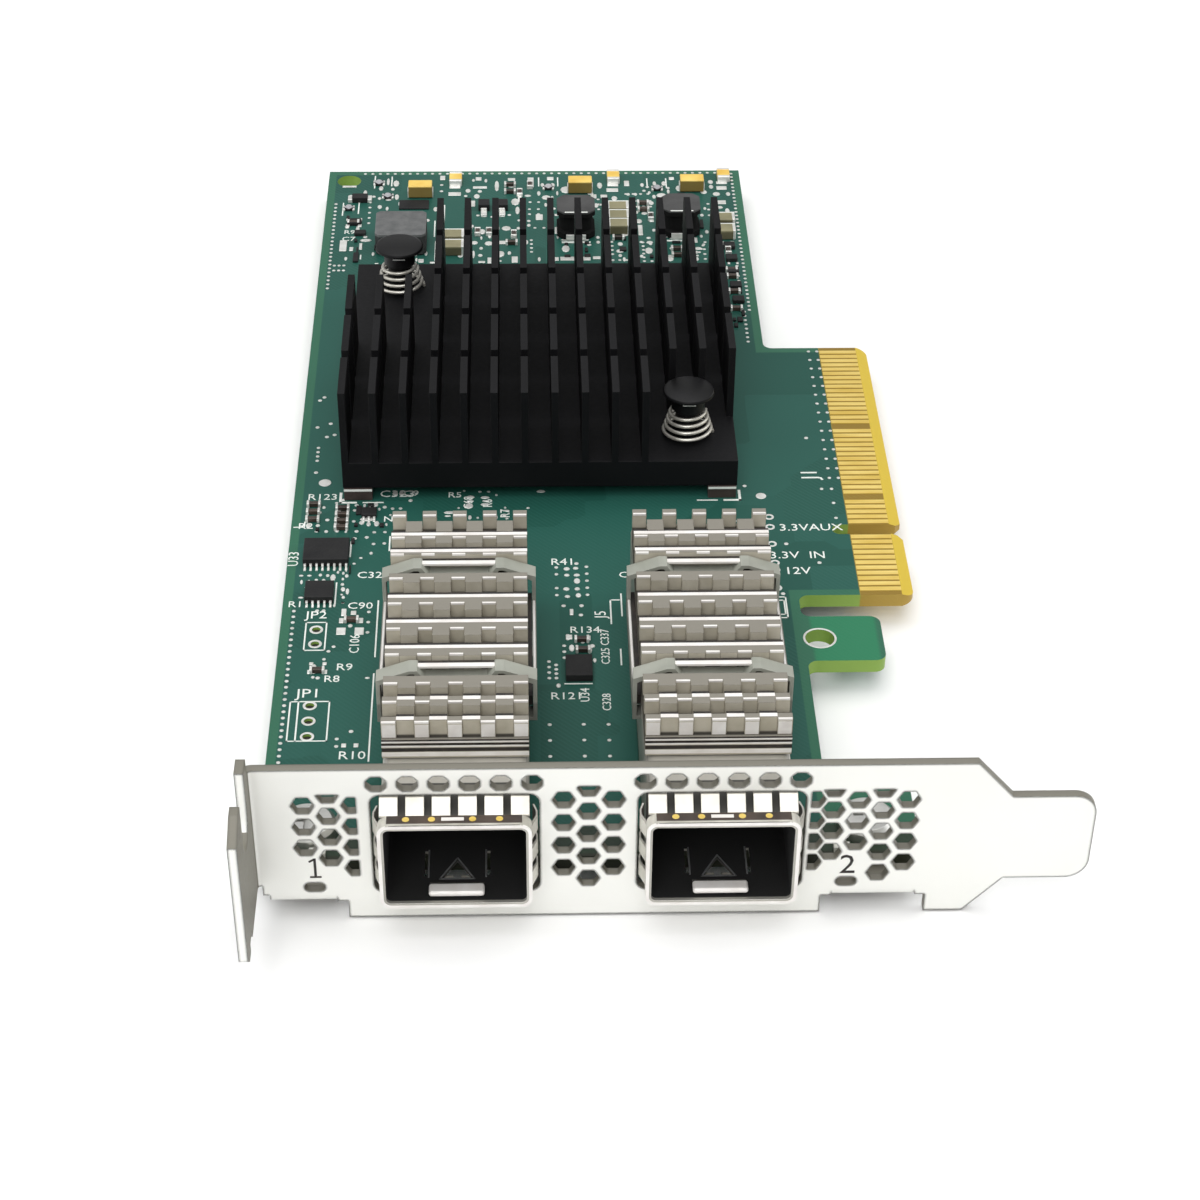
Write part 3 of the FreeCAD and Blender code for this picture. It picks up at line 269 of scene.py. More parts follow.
# finishes, one for each slot of the record
finishes = {
    # painted shade: a dark edge tone round the bracket's edges and holes, and a darker tone on its faces that
    # don't face front or back
    "bracket_steel": {"name": "brightZincSheet", "dark": (0.9, 0.9, 0.85), "light": (0.97, 0.97, 0.93),
                      "edge": (0.03, 0.028, 0.022), "bevel": 0.00045, "paintedEdgeShare": 1.0,
                      "turned": ("Y", "LESS_THAN", (0.2, 0.19, 0.155)), "cloud": 35.0, "grain": 2600.0,
                      "rough": (0.4, 0.55), "metal": 0.12, "relief": 0.00001},
    "screw_steel": {"name": "platedScrew", "dark": (0.5, 0.5, 0.48), "light": (0.75, 0.75, 0.72),
                    "edge": (0.9, 0.9, 0.88), "cloud": 300.0, "grain": 3000.0, "rough": (0.25, 0.35),
                    "metal": 0.9},
    # painted shade inside the cages and round their collars; the pale edge tone is a painted highlight
    "cage_steel": {"name": "nickelCage", "dark": (0.36, 0.35, 0.31), "light": (0.55, 0.53, 0.48),
                   "edge": (0.9, 0.9, 0.86), "paintedShade": (0.004, 0.004, 0.004), "cloud": 90.0, "grain": 2600.0,
                   "rough": (0.34, 0.5), "metal": 0.5,
                   "shade": [((12.78, -2.8, 0.2), (26.38, 45.4, 9.6), 0.14, 1.0),
                             ((37.83, -2.8, 0.2), (51.43, 45.4, 9.6), 0.14, 1.0),
                             ((12, -1.6, -1), (27.2, 3.4, 10.5), 0.1, 0.85),
                             ((37, -1.6, -1), (52.3, 3.4, 10.5), 0.1, 0.85)]},
    "spring_steel": {"name": "springSteel", "dark": (0.5, 0.48, 0.42), "light": (0.78, 0.76, 0.7),
                     "edge": (0.16, 0.15, 0.12), "paintedEdgeShare": 0.7, "cloud": 200.0, "grain": 2600.0,
                     "rough": (0.25, 0.38), "metal": 0.6},
    # painted shade: dark edges, darker tops of the pins and darker floors between the pins
    "pale_aluminium": {"name": "clearAluminium", "dark": (0.44, 0.405, 0.32), "light": (0.56, 0.52, 0.43),
                       "edge": (0.1, 0.085, 0.065), "bevel": 0.0001, "paintedEdgeShare": 0.75,
                       "paintedShade": (0.02, 0.018, 0.015), "cloud": 420.0, "grain": 2400.0,
                       "rough": (0.5, 0.65), "metal": 0.0, "specular": 0.2,
                       "turned": ("Z", "GREATER_THAN", (0.25, 0.235, 0.2)),
                       "shade": [((11.6, 7.3, 10.0), (27.6, 42.5, 12.3), 0.2, 0.85),
                                 ((36.6, 7.3, 10.0), (52.6, 42.5, 12.3), 0.2, 0.85)]},
    "black_aluminium": {"name": "blackAnodised", "dark": (0.0025, 0.0025, 0.003),
                        "light": (0.006, 0.006, 0.007), "edge": (0.02, 0.02, 0.02), "cloud": 80.0,
                        "grain": 2200.0, "rough": (0.5, 0.65), "metal": 0.0, "specular": 0.16},
    "chip_plastic": {"name": "chipMoulding", "dark": (0.008, 0.008, 0.009), "light": (0.018, 0.018, 0.018),
                     "edge": (0.05, 0.05, 0.05), "cloud": 300.0, "grain": 4200.0, "rough": (0.5, 0.68),
                     "relief": 0.00003, "specular": 0.25},
    "connector_plastic": {"name": "socketMoulding", "dark": (0.003, 0.003, 0.003),
                          "light": (0.008, 0.008, 0.008), "cloud": 200.0, "grain": 3600.0,
                          "rough": (0.45, 0.6), "specular": 0.15},
    "pin_plastic": {"name": "glossyPin", "dark": (0.004, 0.004, 0.004), "light": (0.009, 0.009, 0.01),
                    "cloud": 200.0, "grain": 2600.0, "rough": (0.38, 0.46), "specular": 0.2,
                    "relief": 0.000004},
    "foam": {"name": "cornerFoam", "dark": (0.02, 0.012, 0.01), "light": (0.05, 0.035, 0.03),
             "edge": (0.12, 0.09, 0.08), "cloud": 500.0, "grain": 3000.0, "rough": (0.6, 0.8),
             "relief": 0.00004},
    "pad_rubber": {"name": "thermalPad", "dark": (0.35, 0.35, 0.37), "light": (0.46, 0.46, 0.48),
                   "cloud": 200.0, "grain": 2200.0, "rough": (0.7, 0.8)},
    "gold": {"name": "platedGold", "dark": (0.8, 0.56, 0.11), "light": (0.98, 0.76, 0.24), "cloud": 160.0,
             "grain": 2600.0, "stretch": (1, 5, 1), "rough": (0.3, 0.42), "metal": 0.5},
    "tin": {"name": "tinnedLead", "dark": (0.66, 0.66, 0.62), "light": (0.9, 0.9, 0.87),
            "edge": (0.95, 0.95, 0.93), "cloud": 600.0, "grain": 3000.0, "rough": (0.25, 0.4),
            "metal": 0.4},
    # painted shade on the sides of the big inductor, the tantalum and the ceramic capacitors below their
    # tops; the drum inductors are darker below their tops
    "ferrite": {"name": "pressedFerrite", "dark": (0.1, 0.104, 0.104), "light": (0.155, 0.158, 0.158),
                "edge": (0.22, 0.22, 0.22), "cloud": 900.0, "grain": 5200.0, "rough": (0.5, 0.7),
                "relief": 0.00004, "specular": 0.3, "paintedShade": (0.012, 0.012, 0.012),
                "shade": [((2, 110, -2), (20, 140, 2.75), 0.15, 0.75)]},
    "dark_ferrite": {"name": "drumFerrite", "dark": (0.05, 0.05, 0.05), "light": (0.085, 0.085, 0.085),
                     "edge": (0.1, 0.1, 0.1), "cloud": 260.0, "grain": 3200.0, "rough": (0.5, 0.66),
                     "relief": 0.00003, "specular": 0.25, "paintedShade": (0.003, 0.003, 0.003),
                     "shade": [((28, 120, -2), (54, 136, 3.85), 0.12, 1.0)]},
    "tantalum": {"name": "yellowMoulding", "dark": (0.78, 0.48, 0.07), "light": (0.95, 0.7, 0.18),
                 "edge": (0.9, 0.72, 0.35), "cloud": 300.0, "grain": 3000.0, "rough": (0.3, 0.45),
                 "paintedShade": (0.1, 0.075, 0.02), "shade": [((5, 134, -2), (60, 141.8, 1.72), 0.1, 0.85)]},
    "ceramic": {"name": "khakiCeramic", "dark": (0.2, 0.185, 0.1), "light": (0.3, 0.275, 0.155),
                "edge": (0.42, 0.4, 0.28), "cloud": 300.0, "grain": 3000.0, "rough": (0.35, 0.5),
                "paintedShade": (0.05, 0.045, 0.02), "shade": [((5, 100, -2), (60, 148, 1.2), 0.12, 0.7)]},
    "passive": {"name": "smallCeramic", "dark": (0.018, 0.012, 0.01), "light": (0.075, 0.05, 0.036),
                "edge": (0.3, 0.26, 0.2), "cloud": 260.0, "grain": 3000.0, "rough": (0.35, 0.5)},
    "led_body": {"name": "clearLamp", "dark": (0.5, 0.5, 0.45), "light": (0.68, 0.68, 0.62), "cloud": 300.0,
                 "grain": 2600.0, "rough": (0.3, 0.4)},
}


# finishes of pieces that have no slot in the record
looseFinishes = {
    # white print, and the painted highlights on a few edges
    "printAndHighlight": {"name": "whitePrintAndHighlight", "dark": (0.74, 0.78, 0.73), "light": (0.88, 0.9, 0.86), "cloud": 300.0,
             "grain": 2400.0, "rough": (0.5, 0.65)},
    # dark numerals, and painted shade for the shadow strips and the discs in the header holes
    "numeralsAndShade": {"name": "darkNumeralsAndPaintedShade", "dark": (0.008, 0.008, 0.008), "light": (0.03, 0.022, 0.016),
             "cloud": 900.0, "grain": 2400.0, "rough": (0.5, 0.7)},
    # painted shade on the clips below the tops of the rails
    "clip": {"name": "mattClip", "dark": (0.3, 0.31, 0.265), "light": (0.38, 0.39, 0.34),
             "edge": (0.6, 0.6, 0.54), "bevel": 0.00008, "cloud": 300.0, "grain": 2400.0,
             "rough": (0.5, 0.65), "metal": 0.1, "paintedShade": (0.01, 0.01, 0.01),
             "shade": [((0, 0, 0), (60, 60, 9.7), 0.3, 0.45)]},
    # a painted highlight for the bright strips on edges, rims and rails
    "line": {"name": "paintedHighlight", "dark": (0.8, 0.76, 0.72), "light": (0.95, 0.93, 0.9),
             "cloud": 400.0, "grain": 2400.0, "rough": (0.35, 0.5), "metal": 0.2},
}


boardLook = {
    "mask": (0.013, 0.077, 0.058), "overCopper": (0.018, 0.093, 0.072), "sheen": (0.026, 0.112, 0.088),
    "border": (0.035, 0.14, 0.085), "borderWidth": 0.95, "borderFade": 0.12,
    "waist": ((40, 46.4), (80, 98.6)),                       # here the lacquer runs on to the tongue
    "tongue": (0.66, 0.48, 0.055), "tongueZone": ((62.9, 46.0), (80, 98.9)),
    "between": (0.27, 0.175, 0.03), "betweenZone": ((62.9, 46.0), (67.6, 98.9)), "zoneFade": 0.1,
    "tab": (0.03, 0.2, 0.1), "tabZone": ((56.8, 34.0), (64.2, 43.0)), "tabFade": 0.4,
    "sideDark": (0.2, 0.34, 0.06), "sideLight": (0.34, 0.5, 0.12), "tipSide": (0.44, 0.29, 0.06),
    "cloud": 40.0, "grain": 2400.0, "cloudShare": 0.3, "faceFrom": 0.5,
    "areaScale": 90.0, "poured": ((0.35, 0.0), (0.37, 1.0)), "routed": ((0.4, 0.0), (0.42, 1.0)),
    "trackScale": 900.0, "trackEdge": ((0.5, 0.0), (0.75, 1.0)), "trackShare": 0.4,
    "rough": (0.28, 0.44), "specular": 0.2, "relief": 0.00002, "grainRelief": 0.15, "trackRelief": 0.5,
    # painted shade: the shadow tone in boxes under the cages and behind the bracket
    "shadow": (0.03, 0.034, 0.022),
    "paintedShadeZones": [((12.5, 2, -0.5), (26.7, 44, 1), 0.3), ((37.5, 2, -0.5), (51.7, 44, 1), 0.3),
               ((0.1, 2, -0.5), (70, 8.5, 1), 0.6), ((0.1, 2, -3), (70, 4.4, 1), 0.4)],
}


zoneReach = 20


def zoneNode(tree, zone, fade):
    # a rectangle of the board, right through it
    low, high = zone
    return insideNode(tree, (*low, -zoneReach), (*high, zoneReach), fade)


def solderMask(look):
    # lacquer over copper areas and tracks, a bare border, a gilt tongue, a greener tab, pale cut sides, and
    # painted shade under the cages and behind the bracket
    material, tree, shader = startMaterial("solderMask")
    cloud, grain = grainNode(tree, look["cloud"], look["grain"])
    geometry = addNode(tree, "ShaderNodeNewGeometry")
    coords = addNode(tree, "ShaderNodeTexCoord")
    split = addNode(tree, "ShaderNodeSeparateXYZ")
    tree.links.new(geometry.outputs["Normal"], split.inputs["Vector"])
    flat = mathNode(tree, "GREATER_THAN", mathNode(tree, "ABSOLUTE", split.outputs["Z"]), look["faceFrom"])
    areas = addNode(tree, "ShaderNodeTexVoronoi", feature="F1", distance="CHEBYCHEV")
    areas.inputs["Scale"].default_value = look["areaScale"]
    tree.links.new(coords.outputs["Object"], areas.inputs["Vector"])
    shares = addNode(tree, "ShaderNodeSeparateColor")
    tree.links.new(areas.outputs["Color"], shares.inputs["Color"])
    poured = rampNode(tree, shares.outputs["Red"], look["poured"])
    tracks = addNode(tree, "ShaderNodeTexWave", wave_type="BANDS", bands_direction="DIAGONAL")
    tracks.inputs["Scale"].default_value = look["trackScale"]
    tree.links.new(coords.outputs["Object"], tracks.inputs["Vector"])
    routed = rampNode(tree, shares.outputs["Green"], look["routed"])
    tracked = mathNode(tree, "MULTIPLY", rampNode(tree, tracks.outputs["Fac"], look["trackEdge"]), routed)
    face = mixColour(tree, poured, look["mask"], look["overCopper"])
    face = mixColour(tree, mathNode(tree, "MULTIPLY", tracked, look["trackShare"]), face, look["sheen"])
    face = mixColour(tree, mathNode(tree, "MULTIPLY", cloud, look["cloudShare"]), face, look["sheen"])
    edge, fade = look["borderWidth"], look["borderFade"]
    inner = ((edge, card["front"] + edge), (card["bodyHeight"] - edge, card["rear"] - edge))
    (waistNear, waistLow), (waistFar, waistHigh) = look["waist"]
    waist = ((waistNear, waistLow + edge), (waistFar, waistHigh - edge))
    lacquered = mathNode(tree, "MAXIMUM", zoneNode(tree, inner, fade), zoneNode(tree, waist, fade))
    face = mixColour(tree, lacquered, look["border"], face)
    gilt = zoneNode(tree, look["tongueZone"], look["zoneFade"])
    face = mixColour(tree, gilt, face, look["tongue"])
    between = zoneNode(tree, look["betweenZone"], look["zoneFade"])
    face = mixColour(tree, between, face, look["between"])
    face = mixColour(tree, zoneNode(tree, look["tabZone"], look["tabFade"]), face, look["tab"])
    side = mixColour(tree, cloud, look["sideDark"], look["sideLight"])
    side = mixColour(tree, gilt, side, look["tipSide"])
    colour = mixColour(tree, flat, side, face)
    # painted shade under the cages and behind the bracket
    for low, high, fade in look["paintedShadeZones"]:
        colour = mixColour(tree, insideNode(tree, low, high, fade), colour, look["shadow"])
    tree.links.new(colour, shader.inputs["Base Color"])
    smooth, coarse = look["rough"]
    tree.links.new(mathNode(tree, "MULTIPLY_ADD", grain, coarse - smooth, smooth), shader.inputs["Roughness"])
    height = mathNode(tree, "ADD", poured, mathNode(tree, "MULTIPLY", grain, look["grainRelief"]))
    height = mathNode(tree, "ADD", height, mathNode(tree, "MULTIPLY", tracked, look["trackRelief"]))
    shader.inputs["Specular IOR Level"].default_value = look["specular"]
    bumpFrom(tree, shader, height, look["relief"])
    return material


materials = {key: grainyMaterial(finish) for key, finish in (finishes | looseFinishes).items()}
materials["board"] = solderMask(boardLook)
materials["dome"] = materials["pad_rubber"]                  # the domes take no slot of their own
slotOf = {part["node"]: part["material_slot"] for part in frame["record"]["subparts"]}
for nodeName, piece in nodes.items():
    piece.data.materials.clear()
    piece.data.materials.append(materials["clip" if nodeName.startswith("port_clip") else slotOf[nodeName]])
print("finishes ready")


# helpers for added pieces


def finishPiece(mesh, name, finishName, replaced=()):
    data = bpy.data.meshes.new(name)
    mesh.to_mesh(data)
    mesh.free()
    piece = bpy.data.objects.new(name, data)
    scene.collection.objects.link(piece)
    data.materials.append(materials[finishName])
    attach(piece, "root")
    if replaced:
        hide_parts(*replaced)
    return piece


def smoothShade(piece, angle):
    piece.data.polygons.foreach_set("use_smooth", [True] * len(piece.data.polygons))
    piece.data.set_sharp_from_angle(angle=math.radians(angle))


def addBlock(mesh, low, high, bevel=0.0, segments=2):
    # a block between two card corners in mm, with all its edges rounded
    near, far = place(*low), place(*high)
    made = bmesh.ops.create_cube(mesh, size=1.0)["verts"]
    bmesh.ops.scale(mesh, verts=made, vec=far - near)
    bmesh.ops.translate(mesh, verts=made, vec=(near + far) / 2)
    if bevel:
        edges = {edge for vert in made for edge in vert.link_edges}
        bmesh.ops.bevel(mesh, geom=list(edges), offset=bevel * mm, offset_type="OFFSET", segments=segments,
                        profile=0.5, affect="EDGES", material=-1, clamp_overlap=True)


def addBody(mesh, x, y, width, depth, low, high, bevel=0.0):
    # a block about a card point, from one level up to another
    addBlock(mesh, (x - width / 2, y - depth / 2, low), (x + width / 2, y + depth / 2, high), bevel)


def addDisc(mesh, x, y, z, radius, height, sides, top=None):
    # a short upright cylinder or cone on the card
    made = bmesh.ops.create_cone(mesh, cap_ends=True, segments=sides, radius1=radius * mm,
                                 radius2=(radius if top is None else top) * mm, depth=height * mm)["verts"]
    bmesh.ops.translate(mesh, verts=made, vec=place(x, y, z + height / 2))


spotShape = {"foot": 0.54, "top": 0.46, "sides": 8}          # radii as shares of the spot's size


def addSpot(mesh, x, y, width, depth, height):
    # a low solder spot, round or oval
    made = bmesh.ops.create_cone(mesh, cap_ends=True, segments=spotShape["sides"], radius1=spotShape["foot"],
                                 radius2=spotShape["top"], depth=1.0)["verts"]
    bmesh.ops.scale(mesh, verts=made, vec=(width * mm, depth * mm, height * mm))
    bmesh.ops.translate(mesh, verts=made, vec=place(x, y, height / 2))


def addRing(mesh, x, y, z, outer, inner, height, sides):
    # a flat ring: a radial strip turned a full circle
    points = [(inner, 0), (outer, 0), (outer, height), (inner, height)]
    verts = [mesh.verts.new(place(x + r, y, z + h)) for r, h in points]
    loop = [mesh.edges.new((a, b)) for a, b in zip(verts, verts[1:] + verts[:1])]
    bmesh.ops.spin(mesh, geom=verts + loop, cent=place(x, y, z), axis=(0, 0, 1), angle=math.tau,
                   steps=sides, use_merge=True)


def addLine(mesh, points, width, z=0.0, height=0.03):
    # a drawn line through card points, one thin block for each run
    for (x0, y0), (x1, y1) in zip(points, points[1:]):
        made = bmesh.ops.create_cube(mesh, size=1.0)["verts"]
        size = Vector(((math.dist((x0, y0), (x1, y1)) + width) * mm, width * mm, height * mm))
        bmesh.ops.scale(mesh, verts=made, vec=size)
        bmesh.ops.rotate(mesh, verts=made, cent=(0, 0, 0),
                         matrix=Matrix.Rotation(math.atan2(y1 - y0, x1 - x0), 3, "Z"))
        bmesh.ops.translate(mesh, verts=made, vec=place((x0 + x1) / 2, (y0 + y1) / 2, z + height / 2))


def addPlate(mesh, outline, near, far):
    # an upright plate: card points (x, z) in a closed outline, thick from near to far along y
    front = [mesh.verts.new(place(x, near, z)) for x, z in outline]
    back = [mesh.verts.new(place(x, far, z)) for x, z in outline]
    count = len(outline)
    mesh.faces.new(front)
    mesh.faces.new(back[::-1])
    for step in range(count):
        after = (step + 1) % count
        mesh.faces.new((front[after], front[step], back[step], back[after]))


def roundedBox(low, high, corner, steps=5):
    # card points (x, z) round a box with rounded corners
    spots = ((high[0] - corner, high[1] - corner, 0), (low[0] + corner, high[1] - corner, 90),
             (low[0] + corner, low[1] + corner, 180), (high[0] - corner, low[1] + corner, 270))
    points = []
    for x, z, start in spots:
        for step in range(steps + 1):
            angle = math.radians(start + 90 * step / steps)
            points.append((x + corner * math.cos(angle), z + corner * math.sin(angle)))
    return points


leastCorner = 0.05


def addFrame(mesh, low, high, corner, wall, near, far):
    # an upright ring between a rounded box and the same box drawn in by the wall
    outer = roundedBox(low, high, corner)
    inner = roundedBox((low[0] + wall, low[1] + wall), (high[0] - wall, high[1] - wall),
                       max(corner - wall, leastCorner))
    rings = [[mesh.verts.new(place(x, y, z)) for x, z in points]
             for points, y in ((outer, near), (inner, near), (inner, far), (outer, far))]
    count = len(outer)
    for ring, following in zip(rings, rings[1:] + rings[:1]):
        for step in range(count):
            after = (step + 1) % count
            mesh.faces.new((ring[step], following[step], following[after], ring[after]))


mergeDistance = 1e-7


def islandBoxes(nodeName):
    # the box of each loose solid in a CAD node, in card mm
    mesh = bmesh.new()
    mesh.from_mesh(nodes[nodeName].data)
    bmesh.ops.remove_doubles(mesh, verts=mesh.verts, dist=mergeDistance)
    boxes, seen = [], set()
    for first in mesh.verts:
        if first in seen:
            continue
        group, queue = [], [first]
        seen.add(first)
        while queue:
            vert = queue.pop()
            group.append(vert.co)
            for edge in vert.link_edges:
                other = edge.other_vert(vert)
                if other not in seen:
                    seen.add(other)
                    queue.append(other)
        lows = [min(co[axis] for co in group) / mm for axis in range(3)]
        highs = [max(co[axis] for co in group) / mm for axis in range(3)]
        shift = (card["tipsHeight"], card["bracketToKey"], 0)
        boxes.append(([a + b for a, b in zip(lows, shift)], [a + b for a, b in zip(highs, shift)]))
    mesh.free()
    return boxes


# small soldered parts: each body between two tinned ends, in the box of its solid
solderedParts = {
    "small_passives": {"end": 0.3, "slot": "passive", "bevel": 0.06, "slim": 0.14},
    "ceramic_capacitors": {"end": 0.42, "slot": "ceramic", "bevel": 0.1},
    "edge_capacitors": {"end": 0.55, "slot": "tantalum", "bevel": 0.1},
    "tantalum_capacitors": {"end": 0.0, "slot": "tantalum", "bevel": 0.12},
}


solderEnd = {"inset": 0.03, "clear": 0.6}                    # clear: share of an end without the body in it
caseStrap = {"rise": 0.55, "side": 0.3, "reach": 0.12, "lap": 0.02, "bevel": 0.04}


def addCap(mesh, low, high, axis, side, look):
    # a tinned end over the part's whole height
    capLow, capHigh = list(low), list(high)
    if side:
        capLow[axis] = high[axis] - look["end"]
    else:
        capHigh[axis] = low[axis] + look["end"]
    addBlock(mesh, capLow, capHigh, look["bevel"])


def addStrap(mesh, low, high, side):
    # moulded cases stand on a bent strap at each end
    edge, out = (high[0], 1) if side else (low[0], -1)
    near, far = sorted((edge - out * caseStrap["lap"], edge + out * caseStrap["reach"]))
    addBlock(mesh, (near, low[1] + caseStrap["side"], 0.0),
             (far, high[1] - caseStrap["side"], high[2] * caseStrap["rise"]), caseStrap["bevel"])


def buildSolderedParts():
    ends = bmesh.new()
    for nodeName, look in solderedParts.items():
        bodies = bmesh.new()
        for low, high in islandBoxes(nodeName):
            axis = 0 if high[0] - low[0] > high[1] - low[1] else 1
            bodyLow, bodyHigh = list(low), list(high)
            bodyLow[2] += solderEnd["inset"]
            if look["end"]:
                bodyLow[axis] += look["end"] * solderEnd["clear"]
                bodyHigh[axis] -= look["end"] * solderEnd["clear"]
                bodyHigh[2] -= solderEnd["inset"]
                bodyLow[1 - axis] += look.get("slim", 0.0)
                bodyHigh[1 - axis] -= look.get("slim", 0.0)
            addBlock(bodies, bodyLow, bodyHigh, look["bevel"])
            for side in (0, 1):
                if look["end"]:
                    addCap(ends, low, high, axis, side, look)
                else:
                    addStrap(ends, low, high, side)
        finishPiece(bodies, nodeName + "_dressed", look["slot"], replaced=(nodeName,))
    finishPiece(ends, "solder_ends", "tin")


buildSolderedParts()
print("small parts ready")


# board dressing: vias, solder pads and printed outlines
viaLook = {"radius": 0.22, "height": 0.035, "underside": -1.57, "sides": 8, "loneShare": 1.15}
viaRows = [
    # first x, first y, step x, step y, count
    (1.3, 18.5, 0, 1.03, 26), (1.3, 114.0, 0, 1.03, 23), (61.67, 69.45, 0, 2.02, 15),
    (62.72, 69.45, 0, 2.02, 15), (60.56, 67.18, 1.15, 0, 2), (61.68, 61.25, 0, 3.04, 2),
    (2.2, 73.8, 0, 0.92, 4), (28.7, 19.05, 0, 2.57, 3), (32.2, 19.05, 0, 2.57, 3),
    (34.75, 19.0, 0, 2.57, 3), (4.9, 145.3, 1.02, 0, 49), (55.05, 108.0, 0, 1.0, 38),
    (54.35, 100.2, 0, 1.05, 8), (29.75, 46.8, 0, 1.3, 2), (29.75, 50.7, 0, 1.3, 2),
    (33.1, 46.8, 0, 1.32, 5), (28.75, 32.0, 0, 0.95, 4), (29.5, 32.0, 0, 0.75, 4),
    (30.4, 35.5, 0, 1.05, 3), (30.8, 38.8, 0, 0.65, 2), (9.4, 40.3, 0, 1.85, 3), (3.8, 44.3, 0.7, 0, 2),
    (2.9, 59.35, 1.1, 0, 2), (9.4, 59.1, 1.2, 0, 2), (9.4, 56.8, 1.2, 0.1, 2), (7.0, 61.3, 0, 2.2, 2),
    (11.3, 63.8, 0.9, 0, 2), (5.4, 37.0, 0.5, 0.8, 2), (7.0, 21.0, 0, 1.2, 2), (1.9, 118.6, 0.62, 0, 3),
    (1.9, 119.9, 0.62, 0, 3), (5.9, 131.3, 0, 1.45, 5), (27.5, 123.3, 0, 1.05, 4),
    (19.5, 124.2, 0, 1.1, 6), (23.4, 120.9, 0, 1.2, 3), (42.2, 120.7, 0, 1.0, 6),
    (43.2, 120.7, 0, 1.5, 4), (38.1, 121.0, 0.9, 0, 3), (38.1, 122.6, 0, 1.1, 4),
    (45.6, 120.9, 0, 1.2, 2), (48.9, 121.2, 0.3, 0.9, 6), (50.2, 121.2, 0, 1.3, 4),
    (28.0, 129.8, 1.2, 0, 2), (36.6, 134.9, 0, 1.4, 3), (51.4, 133.1, 0, 1.6, 3),
    (41.6, 137.2, 1.0, 0, 3), (41.7, 135.6, 0.95, 0, 3), (27.3, 135.0, 1.2, 0, 2),
    (27.3, 133.6, 1.2, 0, 2), (27.4, 137.0, 1.15, 0, 2), (54.2, 115.4, 0, 1.3, 4),
    (40.4, 139.2, 1.0, 0, 4),
]
viaSpots = [(1.85, 81.0), (3.37, 81.8), (3.07, 78.9), (3.95, 79.35), (2.2, 71.3), (1.82, 87.0), (2.32, 87.7),
            (59.7, 78.0), (51.7, 67.9), (53.1, 58.6), (55.6, 56.2), (59.0, 52.5), (54.5, 46.7), (50.1, 60.8),
            (5.6, 65.6), (4.0, 61.6), (7.4, 59.3), (7.25, 57.9), (8.6, 58.1), (7.2, 64.5), (10.4, 64.1),
            (13.3, 65.4), (8.7, 65.9), (4.5, 32.4), (8.4, 23.4), (30.45, 44.8), (32.4, 44.8), (32.3, 43.1),
            (32.0, 52.7), (22.3, 132.9), (20.4, 133.3), (24.6, 133.4), (25.9, 131.9), (36.9, 136.2),
            (46.2, 140.9), (43.4, 141.2), (22.9, 140.6), (15.4, 142.0), (15.4, 140.2)]
padBlocks = [
    # centre x, centre y, size x, size y
    (6.7, 43.9, 0.55, 1.3), (7.75, 43.8, 0.6, 0.7), (6.55, 40.5, 1.0, 1.25), (8.5, 40.5, 1.0, 1.25),
    (6.5, 42.4, 0.5, 0.9), (8.6, 42.4, 0.5, 0.9), (3.6, 33.4, 0.5, 0.7), (5.2, 33.4, 0.5, 0.7),
    (3.7, 34.8, 0.45, 0.5), (5.1, 34.8, 0.45, 0.5), (7.75, 21.1, 0.5, 0.6), (9.0, 21.1, 0.5, 0.6),
    (31.3, 43.6, 0.4, 1.1), (30.95, 39.1, 0.7, 0.8), (33.0, 38.9, 0.5, 0.8), (2.8, 125.1, 0.95, 2.9),
    (3.9, 124.2, 0.5, 1.0), (5.1, 124.9, 0.4, 1.7), (17.2, 139.35, 1.7, 0.95), (38.6, 140.3, 1.6, 0.95),
    (53.5, 140.8, 1.4, 0.95), (53.3, 136.7, 1.1, 1.0), (17.2, 141.3, 1.5, 0.7), (38.7, 141.8, 1.5, 0.8),
    (53.6, 142.3, 1.5, 0.7), (21.2, 133.4, 0.7, 1.1), (23.6, 133.4, 0.7, 1.1), (24.4, 125.8, 2.6, 0.85),
    (25.2, 127.8, 0.7, 1.7), (25.3, 121.2, 0.8, 1.6), (28.6, 132.7, 0.95, 1.5), (19.7, 136.6, 0.6, 1.6),
    (20.4, 143.7, 0.8, 0.9), (20.6, 141.2, 1.9, 0.6), (24.9, 143.5, 1.0, 0.7), (24.9, 141.7, 1.0, 0.7),
    (27.5, 142.6, 0.85, 2.8), (30.2, 143.7, 0.9, 0.9), (26.0, 138.4, 0.5, 2.6), (32.2, 121.4, 1.9, 0.95),
    (30.7, 121.3, 0.7, 0.9), (34.6, 121.4, 1.2, 0.95), (36.0, 121.6, 1.0, 0.7), (42.0, 129.0, 0.6, 2.8),
    (43.6, 132.2, 0.6, 1.9), (46.6, 124.0, 1.0, 1.0), (46.7, 122.3, 0.9, 0.7), (49.2, 126.2, 0.45, 1.3),
    (36.0, 138.5, 0.8, 1.1), (37.4, 138.5, 0.9, 0.9), (45.4, 133.6, 0.4, 1.4), (31.0, 133.3, 0.7, 0.5),
    (30.8, 129.0, 0.35, 1.8), (46.8, 143.6, 0.7, 0.8), (40.6, 142.2, 0.7, 1.5), (15.5, 144.0, 0.7, 1.2),
    (22.0, 121.0, 0.5, 1.5), (21.0, 120.6, 0.9, 0.5), (52.7, 125.4, 0.6, 0.8), (54.0, 125.4, 0.5, 0.9),
    (13.1, 121.0, 0.7, 0.9), (14.6, 120.5, 0.7, 0.4), (53.2, 120.0, 0.35, 0.5), (54.3, 120.0, 0.35, 0.5),
    (2.9, 141.6, 1.9, 0.45),
]
silkBoxes = [
    # low corner, high corner of each printed frame
    ((2.75, 37.2), (4.95, 42.15)), ((1.9, 21.9), (5.95, 28.4)), ((53.15, 42.3), (54.7, 46.1)),
    ((53.35, 42.9), (54.5, 45.5)),
]
